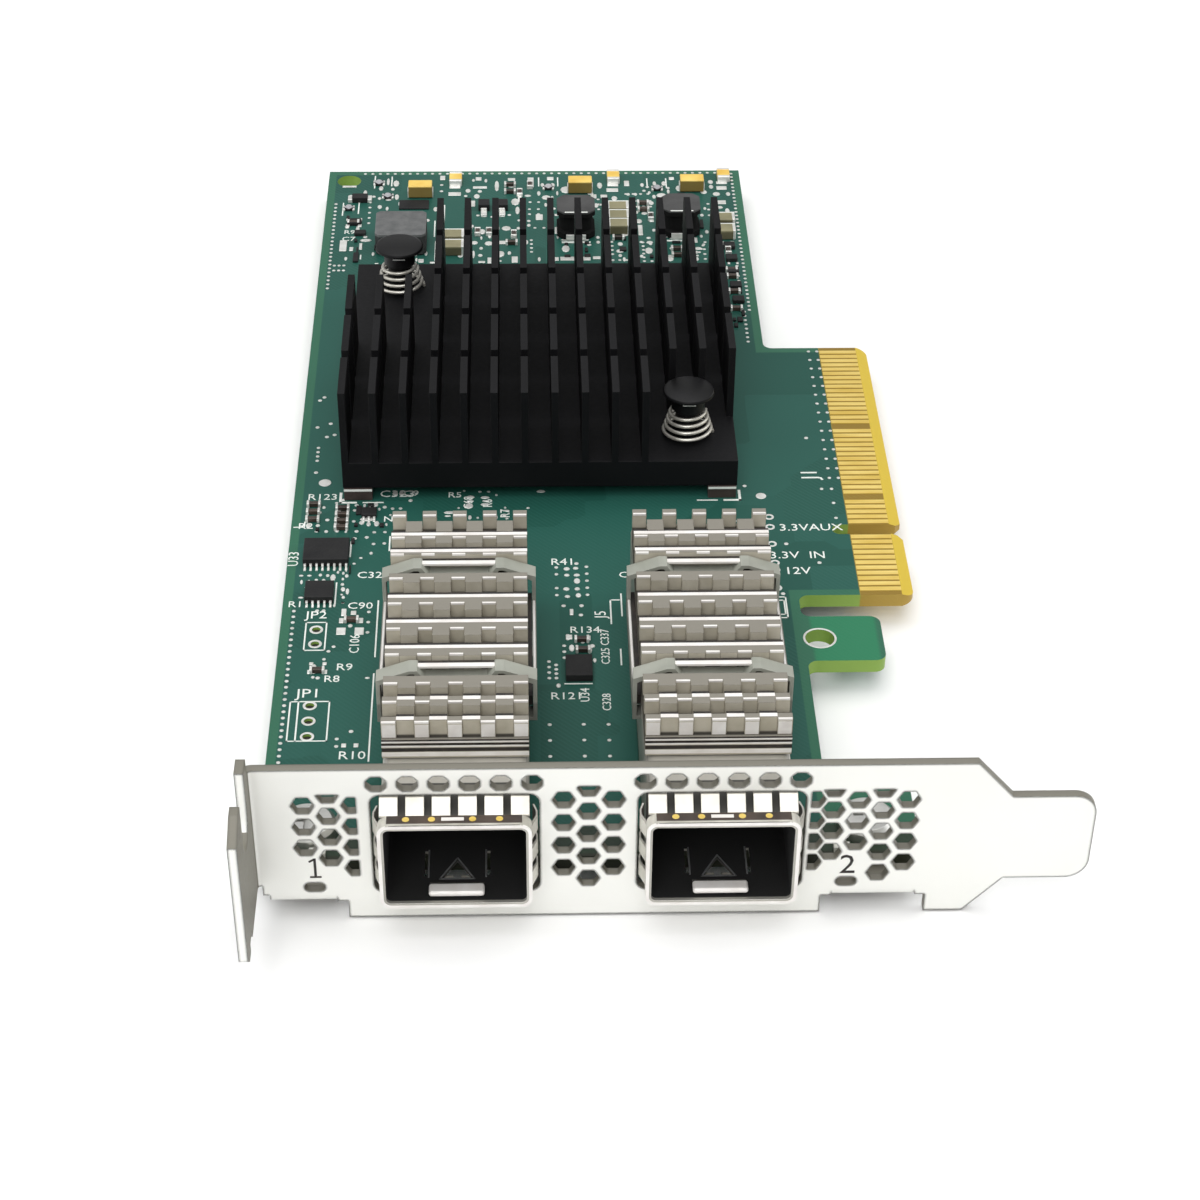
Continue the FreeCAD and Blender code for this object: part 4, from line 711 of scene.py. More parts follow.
silkLines = [
    [(2.75, 21.9), (2.75, 28.4)], [(5.65, 45.4), (5.65, 49.4)], [(6.9, 54.4), (6.9, 57.2)],
    [(10.35, 18.6), (10.35, 33.0)], [(10.35, 36.0), (10.35, 46.0)], [(11.2, 55.5), (11.2, 58.2)],
    [(35.55, 41.5), (35.55, 45.8), (36.5, 45.8)], [(36.75, 42.9), (36.75, 46.9)],
    [(27.1, 36.0), (27.1, 40.2)], [(27.2, 42.0), (27.2, 45.8)], [(36.4, 34.2), (36.4, 36.9)],
    [(14.7, 127.6), (14.7, 131.8)], [(14.9, 121.2), (14.9, 126.2)], [(2.3, 133.5), (2.3, 136.9)],
    [(4.4, 134.0), (4.4, 136.9)], [(6.3, 141.2), (6.3, 144.6)], [(8.6, 141.8), (8.6, 144.4)],
    [(30.4, 31.0), (33.2, 31.0)], [(0.35, 60.2), (1.5, 60.2), (1.5, 61.2)],
    [(28.6, 141.6), (28.6, 144.0)], [(31.2, 141.6), (31.2, 144.0)], [(43.4, 141.0), (43.4, 143.6)],
    [(46.0, 141.0), (46.0, 143.6)], [(15.9, 131.6), (15.9, 136.2)], [(5.2, 121.6), (5.2, 122.6)],
    [(7.2, 120.4), (7.5, 120.4)], [(50.9, 120.7), (50.9, 124.4)], [(40.9, 120.6), (40.9, 123.5)],
]
measuredPads = [
    # centre x, centre y, size x, size y of the smallest solder spots
    (8.1, 143, 0.4, 2), (19.7, 143.3, 0.4, 0.7), (21.4, 143.2, 0.4, 1), (9.2, 142.5, 0.8, 1.7),
    (22.9, 141.7, 0.6, 2.9), (52.1, 142.6, 0.7, 1), (44.4, 142.2, 0.5, 1.2), (45.7, 142.2, 0.7, 1.2),
    (36.9, 141.7, 0.7, 1.7), (29.1, 141.9, 0.5, 1), (30.5, 141.8, 0.6, 1.2), (42.7, 141.8, 0.5, 1),
    (24.9, 141.7, 1.1, 1), (47.8, 140.8, 1.1, 1.7), (52.1, 141.2, 0.6, 1), (7.2, 141.1, 0.6, 1.2),
    (32.3, 140.5, 1.5, 1.9), (8.8, 140.8, 0.5, 0.7), (19, 140.3, 0.7, 1), (46.2, 139.9, 0.4, 1.2),
    (5.1, 139.8, 0.5, 1.5), (20.6, 140.1, 0.6, 0.7), (24.2, 140, 0.6, 1), (42.9, 140.1, 0.5, 0.5),
    (51, 139.7, 0.9, 1), (28.6, 139.5, 0.5, 1.2), (31.1, 139.5, 0.3, 1.2), (43.6, 139.6, 0.4, 0.7),
    (35.6, 139.4, 0.8, 0.7), (52.7, 139.1, 1, 1), (54.3, 139.1, 0.6, 1), (40.7, 139.1, 0.5, 0.7),
    (41.7, 139.1, 0.5, 0.7), (45.2, 138.8, 1.3, 1.2), (9.4, 138.6, 0.6, 1.5), (20.2, 138.7, 0.8, 1.2),
    (3.2, 138.7, 0.7, 1), (18.7, 138.8, 0.5, 0.5), (27.1, 138.8, 0.9, 0.5), (29.6, 138.3, 1.2, 1.2),
    (44.2, 138.4, 0.5, 1), (6.3, 138.7, 0.5, 0.5), (30.4, 138.2, 0.4, 1), (38.8, 138, 0.8, 1.2),
    (7.1, 138.2, 0.5, 0.7), (5.1, 138, 0.8, 0.7), (25.4, 137.1, 1.1, 1.9), (8.3, 137.8, 0.8, 0.5),
    (42.6, 136.7, 0.5, 1), (43.7, 136.6, 0.8, 1), (9.8, 136.7, 0.3, 1), (29.5, 136.2, 0.4, 1),
    (36.3, 136, 0.6, 1.2), (7.2, 135.8, 0.6, 1), (25.7, 134.7, 0.6, 2.1), (42.7, 135.4, 0.6, 0.7),
    (52.9, 135.3, 0.9, 0.7), (8.2, 135.3, 0.4, 1), (14.7, 135.1, 0.6, 1.2), (50.9, 135, 0.4, 0.7),
    (30.6, 135.1, 0.5, 0.5), (45.4, 134.1, 0.7, 1.9), (53.9, 134.3, 0.6, 1.4), (47.2, 134.5, 1.4, 0.7),
    (49.2, 134.5, 0.8, 0.7), (32.6, 134.2, 1.2, 0.5), (34.6, 134.2, 0.7, 0.5), (41.7, 134, 0.4, 0.7),
    (42.7, 133.7, 0.8, 0.7), (50.4, 133.1, 0.5, 0.7), (35.6, 132.9, 0.4, 0.7), (13.7, 132, 0.6, 0.7),
    (41.9, 131.5, 0.8, 1.2), (27.2, 131.7, 0.5, 0.5), (27.2, 130.5, 0.5, 0.7), (3.1, 130.3, 0.6, 0.9),
    (4.5, 129.5, 0.5, 2.3), (19.7, 130.3, 0.4, 0.7), (23.2, 129.7, 0.2, 1.2), (24.2, 129.7, 1.2, 1.2),
    (25.8, 129.7, 0.5, 0.7), (21, 128.8, 0.9, 1.4), (43.8, 129, 0.5, 0.7), (38.4, 128.5, 0.6, 1.2),
    (39.9, 128.2, 1, 1.6), (50.8, 128.5, 0.5, 0.9), (22, 127.8, 0.5, 1.6), (45.5, 127.6, 0.5, 1.2),
    (31, 127.3, 0.3, 0.9), (50, 127.3, 0.4, 0.7), (5.6, 127.5, 0.6, 0.5), (20.9, 127.1, 0.3, 0.9),
    (36.3, 127.1, 0.5, 0.7), (43, 126.9, 0.6, 0.5), (46.6, 126.8, 1.6, 0.7), (5.7, 126.6, 1.5, 0.7),
    (32.3, 126.5, 1.8, 0.4), (34.6, 126.5, 1, 0.5), (26.9, 125.9, 0.4, 1.1), (20, 125.8, 0.9, 0.9),
    (21.9, 125.6, 1.1, 1.1), (36.3, 125.8, 0.5, 0.7), (42, 125.8, 0.5, 0.5), (43.1, 125.7, 0.9, 0.7),
    (39.2, 125.3, 0.7, 0.9), (35.1, 125.1, 0.6, 0.5), (32, 124.1, 1, 1.8), (46.4, 124.1, 1.5, 1.1),
    (20.9, 124.3, 0.5, 0.7), (42.9, 123.5, 1, 1.6), (49.4, 124, 1, 0.7), (39.1, 123.4, 1, 0.9),
    (19.9, 122.7, 0.4, 2), (13.7, 123, 0.4, 1.1), (18.2, 122.7, 0.8, 1.6), (23.6, 122.8, 0.7, 1.4),
    (24.6, 123, 0.5, 0.9), (49.1, 123, 0.5, 0.7), (6.8, 122.9, 0.4, 0.9), (9.5, 123.2, 1.7, 0.4),
    (46.5, 122.3, 1.2, 0.9), (20.8, 122.4, 0.6, 0.7), (39.1, 122.2, 0.5, 0.7), (41.9, 122, 0.5, 0.7),
    (45.6, 121.3, 0.9, 1.3), (3.3, 121.7, 0.4, 0.9), (28.5, 121.3, 0.4, 1.1), (39.6, 121.2, 0.4, 1.1),
    (49.1, 121.2, 0.5, 0.9), (12.5, 121.3, 0.3, 0.9), (4.9, 65, 0.4, 0.3), (1.9, 64.8, 0.6, 0.5),
    (9.4, 64.6, 0.5, 0.7), (8.1, 64.5, 0.3, 0.5), (3.5, 64.1, 0.4, 0.5), (5.1, 64.1, 0.5, 0.5),
    (6, 64.1, 0.4, 0.5), (10.4, 64.1, 0.4, 0.5), (9.8, 63.7, 0.3, 0.5), (11.3, 63.7, 0.3, 0.3),
    (8.7, 63.5, 0.4, 0.5), (1.9, 63.3, 0.5, 0.7), (5.2, 63.2, 0.6, 0.7), (3, 63.1, 0.6, 0.5),
    (8.8, 62.8, 0.5, 0.7), (7.9, 62.8, 0.5, 0.3), (11.1, 62.5, 0.3, 0.3), (1.9, 62, 0.6, 0.8),
    (5.1, 62, 0.5, 0.7), (8.5, 61.7, 1.6, 0.8), (5.2, 61, 0.6, 0.7), (7.9, 61, 0.6, 0.7),
    (9.6, 60.8, 0.6, 1), (8.7, 60.7, 0.5, 0.8), (1.9, 60.5, 0.5, 1), (10.7, 60.6, 0.3, 0.5),
    (3, 60.5, 0.5, 0.5), (5.2, 59.7, 0.5, 1.2), (6.2, 59.9, 0.5, 0.5), (2.9, 59.3, 0.4, 0.3),
    (4, 59.2, 0.4, 0.3), (6.2, 59.2, 0.3, 0.3), (9.2, 55, 0.4, 0.5), (8.1, 54.1, 0.4, 0.3),
    (6.6, 53.3, 0.3, 0.5), (2, 53.2, 0.4, 0.5), (7.4, 53, 0.4, 0.3), (4.6, 52.2, 0.3, 0.8),
    (5.3, 52.2, 0.3, 0.8), (5.9, 52.1, 0.3, 0.8), (6.6, 52, 0.3, 1), (5.7, 51.4, 0.3, 0.5),
    (6.3, 51.2, 0.3, 0.5), (3.8, 50.9, 0.4, 0.5), (4.6, 50.8, 0.4, 0.5), (5.2, 50.4, 0.6, 1.3),
    (6.7, 50.7, 0.4, 0.6), (1.7, 50.8, 0.5, 0.3), (2.6, 50.8, 0.5, 0.3), (6.3, 50.1, 0.3, 0.5),
    (3.4, 50, 0.4, 0.3), (4.2, 49.9, 0.4, 0.5), (1.8, 49.6, 0.3, 0.8), (2.6, 49.6, 0.4, 0.8),
    (6.3, 49.1, 0.4, 0.5), (2.4, 48.6, 0.4, 0.5), (6.4, 48.2, 0.5, 0.8), (6.9, 47.8, 0.4, 1.1),
    (6.3, 47.2, 0.3, 0.3), (6.5, 46.7, 0.4, 0.5), (1.9, 46.7, 0.6, 0.3), (6.5, 45.7, 0.4, 0.3),
    (5.6, 45.2, 0.3, 0.5), (28.2, 67.1, 1, 0.5), (19.4, 67.3, 0.3, 0.3), (11.5, 66.9, 0.6, 0.9),
    (12.2, 66.9, 0.5, 0.9), (21.2, 67.1, 0.4, 0.3), (22.2, 67.1, 0.4, 0.3), (23.1, 66.4, 0.3, 0.3),
    (13, 66.4, 0.4, 0.3), (20.1, 66, 1, 0.5), (21.8, 65.9, 1, 0.5), (13.3, 65.4, 0.4, 0.5),
    (20.1, 65.2, 0.8, 0.3), (21.9, 65.2, 0.8, 0.3), (20, 64.2, 0.9, 1), (21.8, 64.5, 1, 0.5),
    (18.8, 63.8, 0.3, 0.3), (24.1, 63.8, 0.3, 0.3), (26.7, 63.7, 0.4, 0.3), (24.2, 63.2, 0.8, 0.3),
    (17.8, 62.9, 1.3, 0.5), (24, 62.3, 0.5, 0.5), (17.6, 62.2, 0.7, 0.3), (20.1, 61.9, 0.4, 0.8),
    (23.1, 61.9, 0.3, 0.8), (21, 61.8, 0.3, 0.3), (24.3, 61.6, 0.4, 0.3), (30.9, 51.7, 0.7, 0.6),
    (31.9, 51.8, 0.6, 0.5), (30.9, 50.5, 0.6, 0.5), (32, 50.5, 0.7, 0.5), (32, 49.4, 0.7, 1),
    (30.8, 47.9, 0.7, 0.6), (32, 47.9, 0.6, 0.6), (32.1, 46.7, 0.6, 0.8), (30.9, 46.5, 0.6, 0.5),
    (32.4, 38.3, 0.5, 0.6), (31.2, 37.2, 0.6, 1.2), (33.4, 37.5, 0.6, 0.6), (33.1, 36.8, 0.5, 1.2),
    (33.6, 35, 0.4, 0.7), (29.7, 30.7, 0.5, 0.7), (6.5, 45.7, 0.4, 0.3), (7.5, 41.5, 0.5, 0.6),
    (5, 35.6, 0.4, 0.4), (4, 34.3, 0.5, 0.9), (4, 33.4, 0.5, 0.6), (4, 32.5, 0.4, 0.4),
    (9.7, 32.3, 0.5, 0.3),
]
padLook = {"height": 0.09, "bevel": 0.07, "spotHeight": 0.07}
printLook = {"frameWidth": 0.16, "lineWidth": 0.17}
ringHeight = 0.04
headerRings = {"outer": 0.74, "inner": 0.47, "sides": 20,
               "spots": [(3.95, 22.6), (3.95, 25.15), (3.95, 27.7), (3.9, 38.3), (3.9, 40.85)]}
probeRings = {"outer": 0.55, "inner": 0.3, "sides": 16,
              "spots": [(52.65, 61.6), (54.07, 61.55), (54.03, 59.55), (54.0, 56.2), (54.05, 52.55),
                        (54.0, 51.2), (53.95, 47.8)]}
hookRing = {"outer": 1.8, "inner": 1.57, "sides": 36, "spots": [(57.8, 38.55)]}
fiducials = {"sides": 24, "spots": [(3.35, 69.15, 0.72), (53.45, 65.8, 0.6)]}
# dark discs sunk in the header holes: painted shade inside the holes
holeShadeDisc = {"level": -0.35, "height": 0.05, "gap": 0.02, "sides": 20}


def buildBoardDressing():
    vias, pads, lines, rings, shadeDiscs = (bmesh.new() for kind in range(5))
    spots = [(x + dx * step, y + dy * step, 1.0) for x, y, dx, dy, count in viaRows for step in range(count)]
    spots += [(x, y, viaLook["loneShare"]) for x, y in viaSpots]
    for x, y, share in spots:
        for level in (0, viaLook["underside"] - viaLook["height"]):
            addDisc(vias, x, y, level, viaLook["radius"] * share, viaLook["height"], viaLook["sides"])
    for x, y, width, depth in padBlocks:
        addBody(pads, x, y, width, depth, 0, padLook["height"], padLook["bevel"])
    for x, y, width, depth in measuredPads:
        addSpot(pads, x, y, width, depth, padLook["spotHeight"])
    for low, high in silkBoxes:
        addLine(lines, [low, (high[0], low[1]), high, (low[0], high[1]), low], printLook["frameWidth"])
    for points in silkLines:
        addLine(lines, points, printLook["lineWidth"])
    for look in (headerRings, probeRings, hookRing):
        for x, y in look["spots"]:
            addRing(rings, x, y, 0, look["outer"], look["inner"], ringHeight, look["sides"])
    for x, y, radius in fiducials["spots"]:
        addDisc(rings, x, y, 0, radius, ringHeight, fiducials["sides"])
    look = holeShadeDisc
    for x, y in headerRings["spots"]:
        addDisc(shadeDiscs, x, y, look["level"], headerRings["inner"] - look["gap"], look["height"],
                look["sides"])
    finishPiece(vias, "board_vias", "tin")
    finishPiece(pads, "solder_pads", "tin")
    finishPiece(lines, "printed_lines", "printAndHighlight")
    finishPiece(rings, "ring_pads", "tin")
    finishPiece(shadeDiscs, "hole_shade_discs", "numeralsAndShade")


buildBoardDressing()
print("board dressing ready")


# lettering: port numbers on the bracket and plain part labels on the board
labels = [
    # text, x, y, height, turned a quarter
    ("JP2", 2.6, 42.9, 1.35, False), ("JP1", 2.4, 29.1, 1.5, False), ("R8", 5.1, 31.7, 1.15, False),
    ("R10", 7.2, 18.95, 1.3, False), ("C90", 7.0, 44.6, 1.2, False), ("C106", 8.6, 36.6, 1.1, True),
    ("R123", 1.5, 65.7, 1.2, False), ("C323", 9.7, 66.2, 1.35, False), ("R41", 29.1, 52.5, 1.25, False),
    ("R134", 31.0, 39.9, 1.15, False), ("R121", 28.8, 28.4, 1.2, False), ("J5", 35.0, 42.5, 1.3, True),
    ("C325", 35.2, 34.3, 0.95, True), ("C337", 35.2, 37.6, 0.95, True), ("C328", 35.1, 26.4, 0.95, True),
    ("U34", 32.9, 27.9, 1.0, True), ("N", 10.3, 61.2, 1.1, False), ("R9", 2.7, 128.4, 1.0, False),
    ("C7", 2.5, 126.5, 1.1, False), ("3.3VAUX", 55.0, 58.8, 1.35, False),
    ("3.3V  IN", 53.5, 53.4, 1.35, False), ("12V", 54.95, 50.4, 1.35, False),
    ("J1", 60.3, 69.2, 2.0, True), ("L9", 50.9, 47.0, 1.3, True), ("U33", 1.2, 52.6, 1.2, True),
    ("R2", 0.75, 59.9, 1.15, False), ("R1", 0.55, 45.0, 1.1, False), ("C32", 7.8, 50.3, 1.2, False),
    ("R5", 17.5, 66.0, 1.1, False), ("C68", 20.4, 63.6, 1.1, True), ("R6", 22.6, 63.9, 1.1, True),
    ("C9", 12.4, 66.4, 1.1, False), ("R7", 24.6, 61.8, 1.1, True), ("C11", 36.6, 50.0, 1.1, False),
    ("R9", 6.3, 33.7, 1.2, False),
]
labelLook = {"sizeShare": 1.38, "depth": 0.03, "lift": 0.016}     # sizeShare: font size over capital height
portNumbers = {"height": 2.45, "depth": 0.03, "one": (6.15, 1.0), "two": (56.83, 2.05),
               "plate": (-0.03, 0.01),
               "stroke": [(-0.55, 0), (0.55, 0), (0.55, 0.2), (0.13, 0.2), (0.13, 2.45), (-0.08, 2.45),
                          (-0.6, 2.1), (-0.5, 1.92), (-0.12, 2.16), (-0.12, 0.2), (-0.55, 0.2)]}


def textMesh(text, height, depth):
    curve = bpy.data.curves.new("label", "FONT")
    curve.body = text
    curve.size = height * mm * labelLook["sizeShare"]
    curve.extrude = depth * mm / 2
    curve.resolution_u = 2
    holder = bpy.data.objects.new("label", curve)
    data = bpy.data.meshes.new_from_object(holder)
    mesh = bmesh.new()
    mesh.from_mesh(data)
    bpy.data.objects.remove(holder)
    bpy.data.meshes.remove(data)
    return mesh


def turnQuarter(mesh, axis):
    bmesh.ops.rotate(mesh, verts=mesh.verts, cent=(0, 0, 0), matrix=Matrix.Rotation(math.pi / 2, 3, axis))


def joinMesh(target, source):
    data = bpy.data.meshes.new("joined")
    source.to_mesh(data)
    source.free()
    target.from_mesh(data)
    bpy.data.meshes.remove(data)


def buildLettering():
    legend, numbers = bmesh.new(), bmesh.new()
    for text, x, y, height, turned in labels:
        letters = textMesh(text, height, labelLook["depth"])
        if turned:
            turnQuarter(letters, "Z")
        bmesh.ops.translate(letters, verts=letters.verts, vec=place(x, y, labelLook["lift"]))
        joinMesh(legend, letters)
    look = portNumbers
    x, z = look["one"]
    addPlate(numbers, [(x + across, z + up) for across, up in look["stroke"]], *look["plate"])
    x, z = look["two"]
    letters = textMesh("2", look["height"], look["depth"])
    turnQuarter(letters, "X")
    middle = sum(vert.co.x for vert in letters.verts) / len(letters.verts)
    centre = Vector((middle, 0, look["height"] * mm / 2))
    bmesh.ops.translate(letters, verts=letters.verts, vec=place(x, 0, z) - centre)
    joinMesh(numbers, letters)
    finishPiece(legend, "board_legend", "printAndHighlight")
    finishPiece(numbers, "port_numbers", "numeralsAndShade")


buildLettering()
print("lettering ready")


# push pins and springs, turned and swept in the place of their plain solids
pushPin = {"spots": [(45.15, 71.7), (11.15, 105.7)], "steps": 48, "smooth": 35,
           "tip": -3.97, "point": 0.7, "pointEdge": (0.85, 0.1),
           "barb": 1.95, "barbTop": -1.67, "barbTall": 0.45, "barbEdge": (0.06, 0.05), "shank": 1.45,
           "neck": 1.9, "neckLow": 8.3, "neckEdge": 0.08,
           "head": 2.95, "headLow": 10.15, "headTop": 10.8, "headRound": 0.4, "headCut": 0.12}
pinSpring = {"wire": 0.21, "top": 2.0, "base": 2.9, "turns": 4.0, "stepsPerTurn": 28, "sides": 8,
             "low": 5.03, "high": 8.05, "smooth": 50}


def pinProfile(look):
    # radius and level of each turning point, from the tip up to the middle of the head
    tip, barb, barbTop, neck, neckLow = (look[key] for key in ("tip", "barb", "barbTop", "neck", "neckLow"))
    head, headLow, headTop = look["head"], look["headLow"], look["headTop"]
    turn, cut, edge = look["headRound"], look["headCut"], look["neckEdge"]
    pointRadius, pointRise = look["pointEdge"]
    barbIn, barbDown = look["barbEdge"]
    return [(0.0, tip), (look["point"], tip), (pointRadius, tip + pointRise),
            (barb, barbTop - look["barbTall"]), (barb, barbTop - barbDown), (barb - barbIn, barbTop),
            (look["shank"], barbTop), (look["shank"], neckLow), (neck - edge, neckLow),
            (neck, neckLow + edge), (neck, headLow),
            (head - turn, headLow), (head - cut, headLow + cut), (head, headLow + turn),
            (head, headTop - turn), (head - cut, headTop - cut), (head - turn, headTop), (0.0, headTop)]


def buildPushPins():
    mesh = bmesh.new()
    for x, y in pushPin["spots"]:
        verts = [mesh.verts.new(place(x + r, y, z)) for r, z in pinProfile(pushPin)]
        edges = [mesh.edges.new(pair) for pair in zip(verts, verts[1:])]
        bmesh.ops.spin(mesh, geom=verts + edges, cent=place(x, y), axis=(0, 0, 1), angle=math.tau,
                       steps=pushPin["steps"], use_merge=True)
    bmesh.ops.remove_doubles(mesh, verts=mesh.verts, dist=mergeDistance)
    bmesh.ops.recalc_face_normals(mesh, faces=mesh.faces)
    piece = finishPiece(mesh, "push_pins_turned", "pin_plastic", replaced=("push_pins",))
    smoothShade(piece, pushPin["smooth"])


def buildSprings():
    look = pinSpring
    mesh = bmesh.new()
    steps = int(look["turns"] * look["stepsPerTurn"])
    for x, y in pushPin["spots"]:
        rings = []
        for step in range(steps + 1):
            share = step / steps
            angle = math.tau * look["turns"] * share
            radius = look["base"] + (look["top"] - look["base"]) * share
            z = look["low"] + (look["high"] - look["low"]) * share
            ring = []
            for side in range(look["sides"]):
                turn = math.tau * side / look["sides"]
                reach = radius + look["wire"] * math.cos(turn)
                ring.append(mesh.verts.new(place(x + reach * math.cos(angle), y + reach * math.sin(angle),
                                                 z + look["wire"] * math.sin(turn))))
            rings.append([mesh.edges.new(pair) for pair in zip(ring, ring[1:] + ring[:1])])
        for near, far in zip(rings, rings[1:]):
            bmesh.ops.bridge_loops(mesh, edges=near + far)
        for end in (rings[0], rings[-1]):
            bmesh.ops.edgeloop_fill(mesh, edges=end)
    bmesh.ops.recalc_face_normals(mesh, faces=mesh.faces)
    piece = finishPiece(mesh, "pin_springs_wound", "spring_steel", replaced=("pin_springs",))
    smoothShade(piece, look["smooth"])


buildPushPins()
buildSprings()
print("pins and springs ready")


# painted highlights on the edges, and painted shadow in the gaps, of the port heat sinks and their clips
sinkLook = {
    "centres": (19.58, 44.63), "width": 14.0, "front": 7.0, "rear": 42.8, "top": 13.9,
    "pins": 5, "narrow": 1.45, "line": 0.5, "rise": 0.03, "sunk": 0.1, "bevel": 0.02,
    # shade: painted shadow in the gap behind a painted highlight; cap: a painted highlight on the front edge
    # of a narrow pin
    "shade": {"reach": 0.42, "lap": 0.02, "low": 0.5, "high": 0.04},   # the dark gap behind a bright edge
    "cap": {"side": 0.05, "drop": 0.2, "depth": 0.2},                  # the front edge of a narrow pin
    # painted highlights on the faces of the narrow pins, only in rows more than "beyond" ahead of the sink's
    # rear
    "face": {"beyond": 34, "side": 0.08, "low": 12.1, "high": 13.6, "proud": 0.02, "depth": 0.1},
    # level and height of the painted highlight stripes and the painted shadow stripes across the front
    "stripes": [(11.72, 0.26), (11.2, 0.2), (10.1, 0.5)], "stripeProud": 0.03, "stripeDepth": 0.1,
    "gaps": [(11.94, 0.1), (11.44, 0.24), (10.7, 0.4)], "gapProud": 0.04,
    # how far each row's rear lies ahead of the sink's rear, the depth of its narrow pins (0 where
    # it has none), and which pins its painted highlight crosses
    "rows": [(0.0, 0.9, "none"), (1.9, 0.0, "none"), (4.0, 0.9, "all"), (7.0, 0.9, "all"),
             (11.2, 0.9, "none"), (14.9, 1.5, "all"), (19.1, 1.5, "all"), (23.3, 1.5, "all"),
             (28.2, 1.2, "none"), (31.4, 0.9, "wide"), (34.5, 0.9, "wide")],
}
# painted highlights on the clip straps and rails, and painted shadow beside them (shade, gap)
clipLook = {"rows": (16.6, 33.8), "span": 3.8, "level": 13.5, "bar": 0.6, "thick": 0.3, "bevel": 0.06,
            "shade": {"low": 0.5, "high": 0.05, "reach": 0.4},
            "rail": 7.63, "railTop": 9.4, "railHalf": 0.12, "railSunk": 0.1, "lineBevel": 0.03,
            "gap": 7.22, "gapHalf": 0.2, "gapLevels": (8.6, 9.75)}


def addRowLines(lines, shadows, left, right):
    # painted highlights on the rear edges of the pin rows and on the fronts of the narrow pins, and painted
    # shadow in the gaps behind the rows
    look, shade, cap, face = sinkLook, sinkLook["shade"], sinkLook["cap"], sinkLook["face"]
    narrow, bevel, top, high = look["narrow"], look["bevel"], look["top"], look["top"] + look["rise"]
    pitch = (look["width"] - narrow) / (look["pins"] - 1)
    starts = [left + pitch * step for step in range(look["pins"])]
    wide = [(start + narrow, start + pitch) for start in starts[:-1]]
    spans = {"none": [], "all": [(left, right)], "wide": wide}
    for back, depth, crossed in look["rows"]:
        rear = look["rear"] - back
        near = rear - depth
        for x0, x1 in spans[crossed]:
            addBlock(lines, (x0, rear - look["line"], top - look["sunk"]), (x1, rear, high), bevel)
            addBlock(shadows, (x0, rear - shade["lap"], top - shade["low"]),
                     (x1, rear + shade["reach"], top - shade["high"]), bevel)
        for start in starts if depth else []:
            end = start + narrow
            addBlock(lines, (start + cap["side"], near - look["rise"], top - cap["drop"]),
                     (end - cap["side"], near + cap["depth"], high), bevel)
            if back > face["beyond"]:
                addBlock(lines, (start + face["side"], near - face["proud"], face["low"]),
                         (end - face["side"], near + face["depth"], face["high"]))


def addFrontStripes(lines, shadows, left, right):
    # painted highlight stripes and painted shadow stripes across the front of a port heat sink
    near, far = sinkLook["front"], sinkLook["front"] + sinkLook["stripeDepth"]
    for level, tall in sinkLook["stripes"]:
        addBlock(lines, (left, near - sinkLook["stripeProud"], level), (right, far, level + tall),
                 sinkLook["bevel"])
    for level, tall in sinkLook["gaps"]:
        addBlock(shadows, (left, near - sinkLook["gapProud"], level), (right, far, level + tall))


def addClipLines(lines, shadows, centre):
    # painted highlights on the cross straps and side rails, and painted shadow behind the straps and in the
    # gaps beside the rails
    look, shade, level = clipLook, clipLook["shade"], clipLook["level"]
    left, right = centre - look["span"], centre + look["span"]
    for row in look["rows"]:
        bar = row + look["bar"]
        addBlock(lines, (left, row, level - look["thick"]), (right, bar, level), look["bevel"])
        addBlock(shadows, (left, bar, level - shade["low"]),
                 (right, bar + shade["reach"], level - shade["high"]), look["lineBevel"])
    near, far = look["rows"]
    low, high = look["gapLevels"]
    for side in (-1, 1):
        rail, gap = centre + side * look["rail"], centre + side * look["gap"]
        addBlock(shadows, (gap - look["gapHalf"], near, low), (gap + look["gapHalf"], far, high))
        addBlock(lines, (rail - look["railHalf"], near, look["railTop"] - look["railSunk"]),
                 (rail + look["railHalf"], far, look["railTop"] + sinkLook["rise"]), look["lineBevel"])


def buildSinkLines():
    lines, shadows = bmesh.new(), bmesh.new()
    for centre in sinkLook["centres"]:
        left, right = centre - sinkLook["width"] / 2, centre + sinkLook["width"] / 2
        addRowLines(lines, shadows, left, right)
        addFrontStripes(lines, shadows, left, right)
        addClipLines(lines, shadows, centre)
    finishPiece(lines, "highlight_lines", "line")
    finishPiece(shadows, "shadow_lines", "numeralsAndShade")


# painted highlights on the top front edges of the drum inductors, the pin necks, the ceramic capacitors and
# the front feet; the drum's base line is a pale line at its foot
drumLines = {"spots": [(33.4, 128.9), (47.3, 129.2)], "half": 1.5, "front": 2.46, "top": 4.0, "depth": 0.25,
             "sunk": 0.1, "rise": 0.03, "bevel": 0.03, "base": 3.0, "baseMore": 0.4, "baseDepth": 0.3,
             "baseHeight": 0.1}
neckGlint = {"half": 0.75, "front": 1.86, "level": 9.6, "proud": 0.08, "depth": 0.3, "height": 0.1,
             "bevel": 0.03}
capacitorLine = {"depth": 0.16, "sunk": 0.1, "proud": 0.03, "rise": 0.02, "bevel": 0.03}
footLines = {"behind": 80,                                         # feet behind this y have no print
             "middle": 30,                                         # the print is mirrored about this x
             "edge": {"proud": 0.04, "depth": 0.1, "low": 0.3, "high": 0.02, "bevel": 0.02},
             "hook": [(-0.45, 1.4), (-0.45, -0.5), (1.3, -0.5)], "hookWidth": 0.3,
             "dash": [(2.2, -0.5), (4.4, -0.5)], "dashWidth": 0.2}


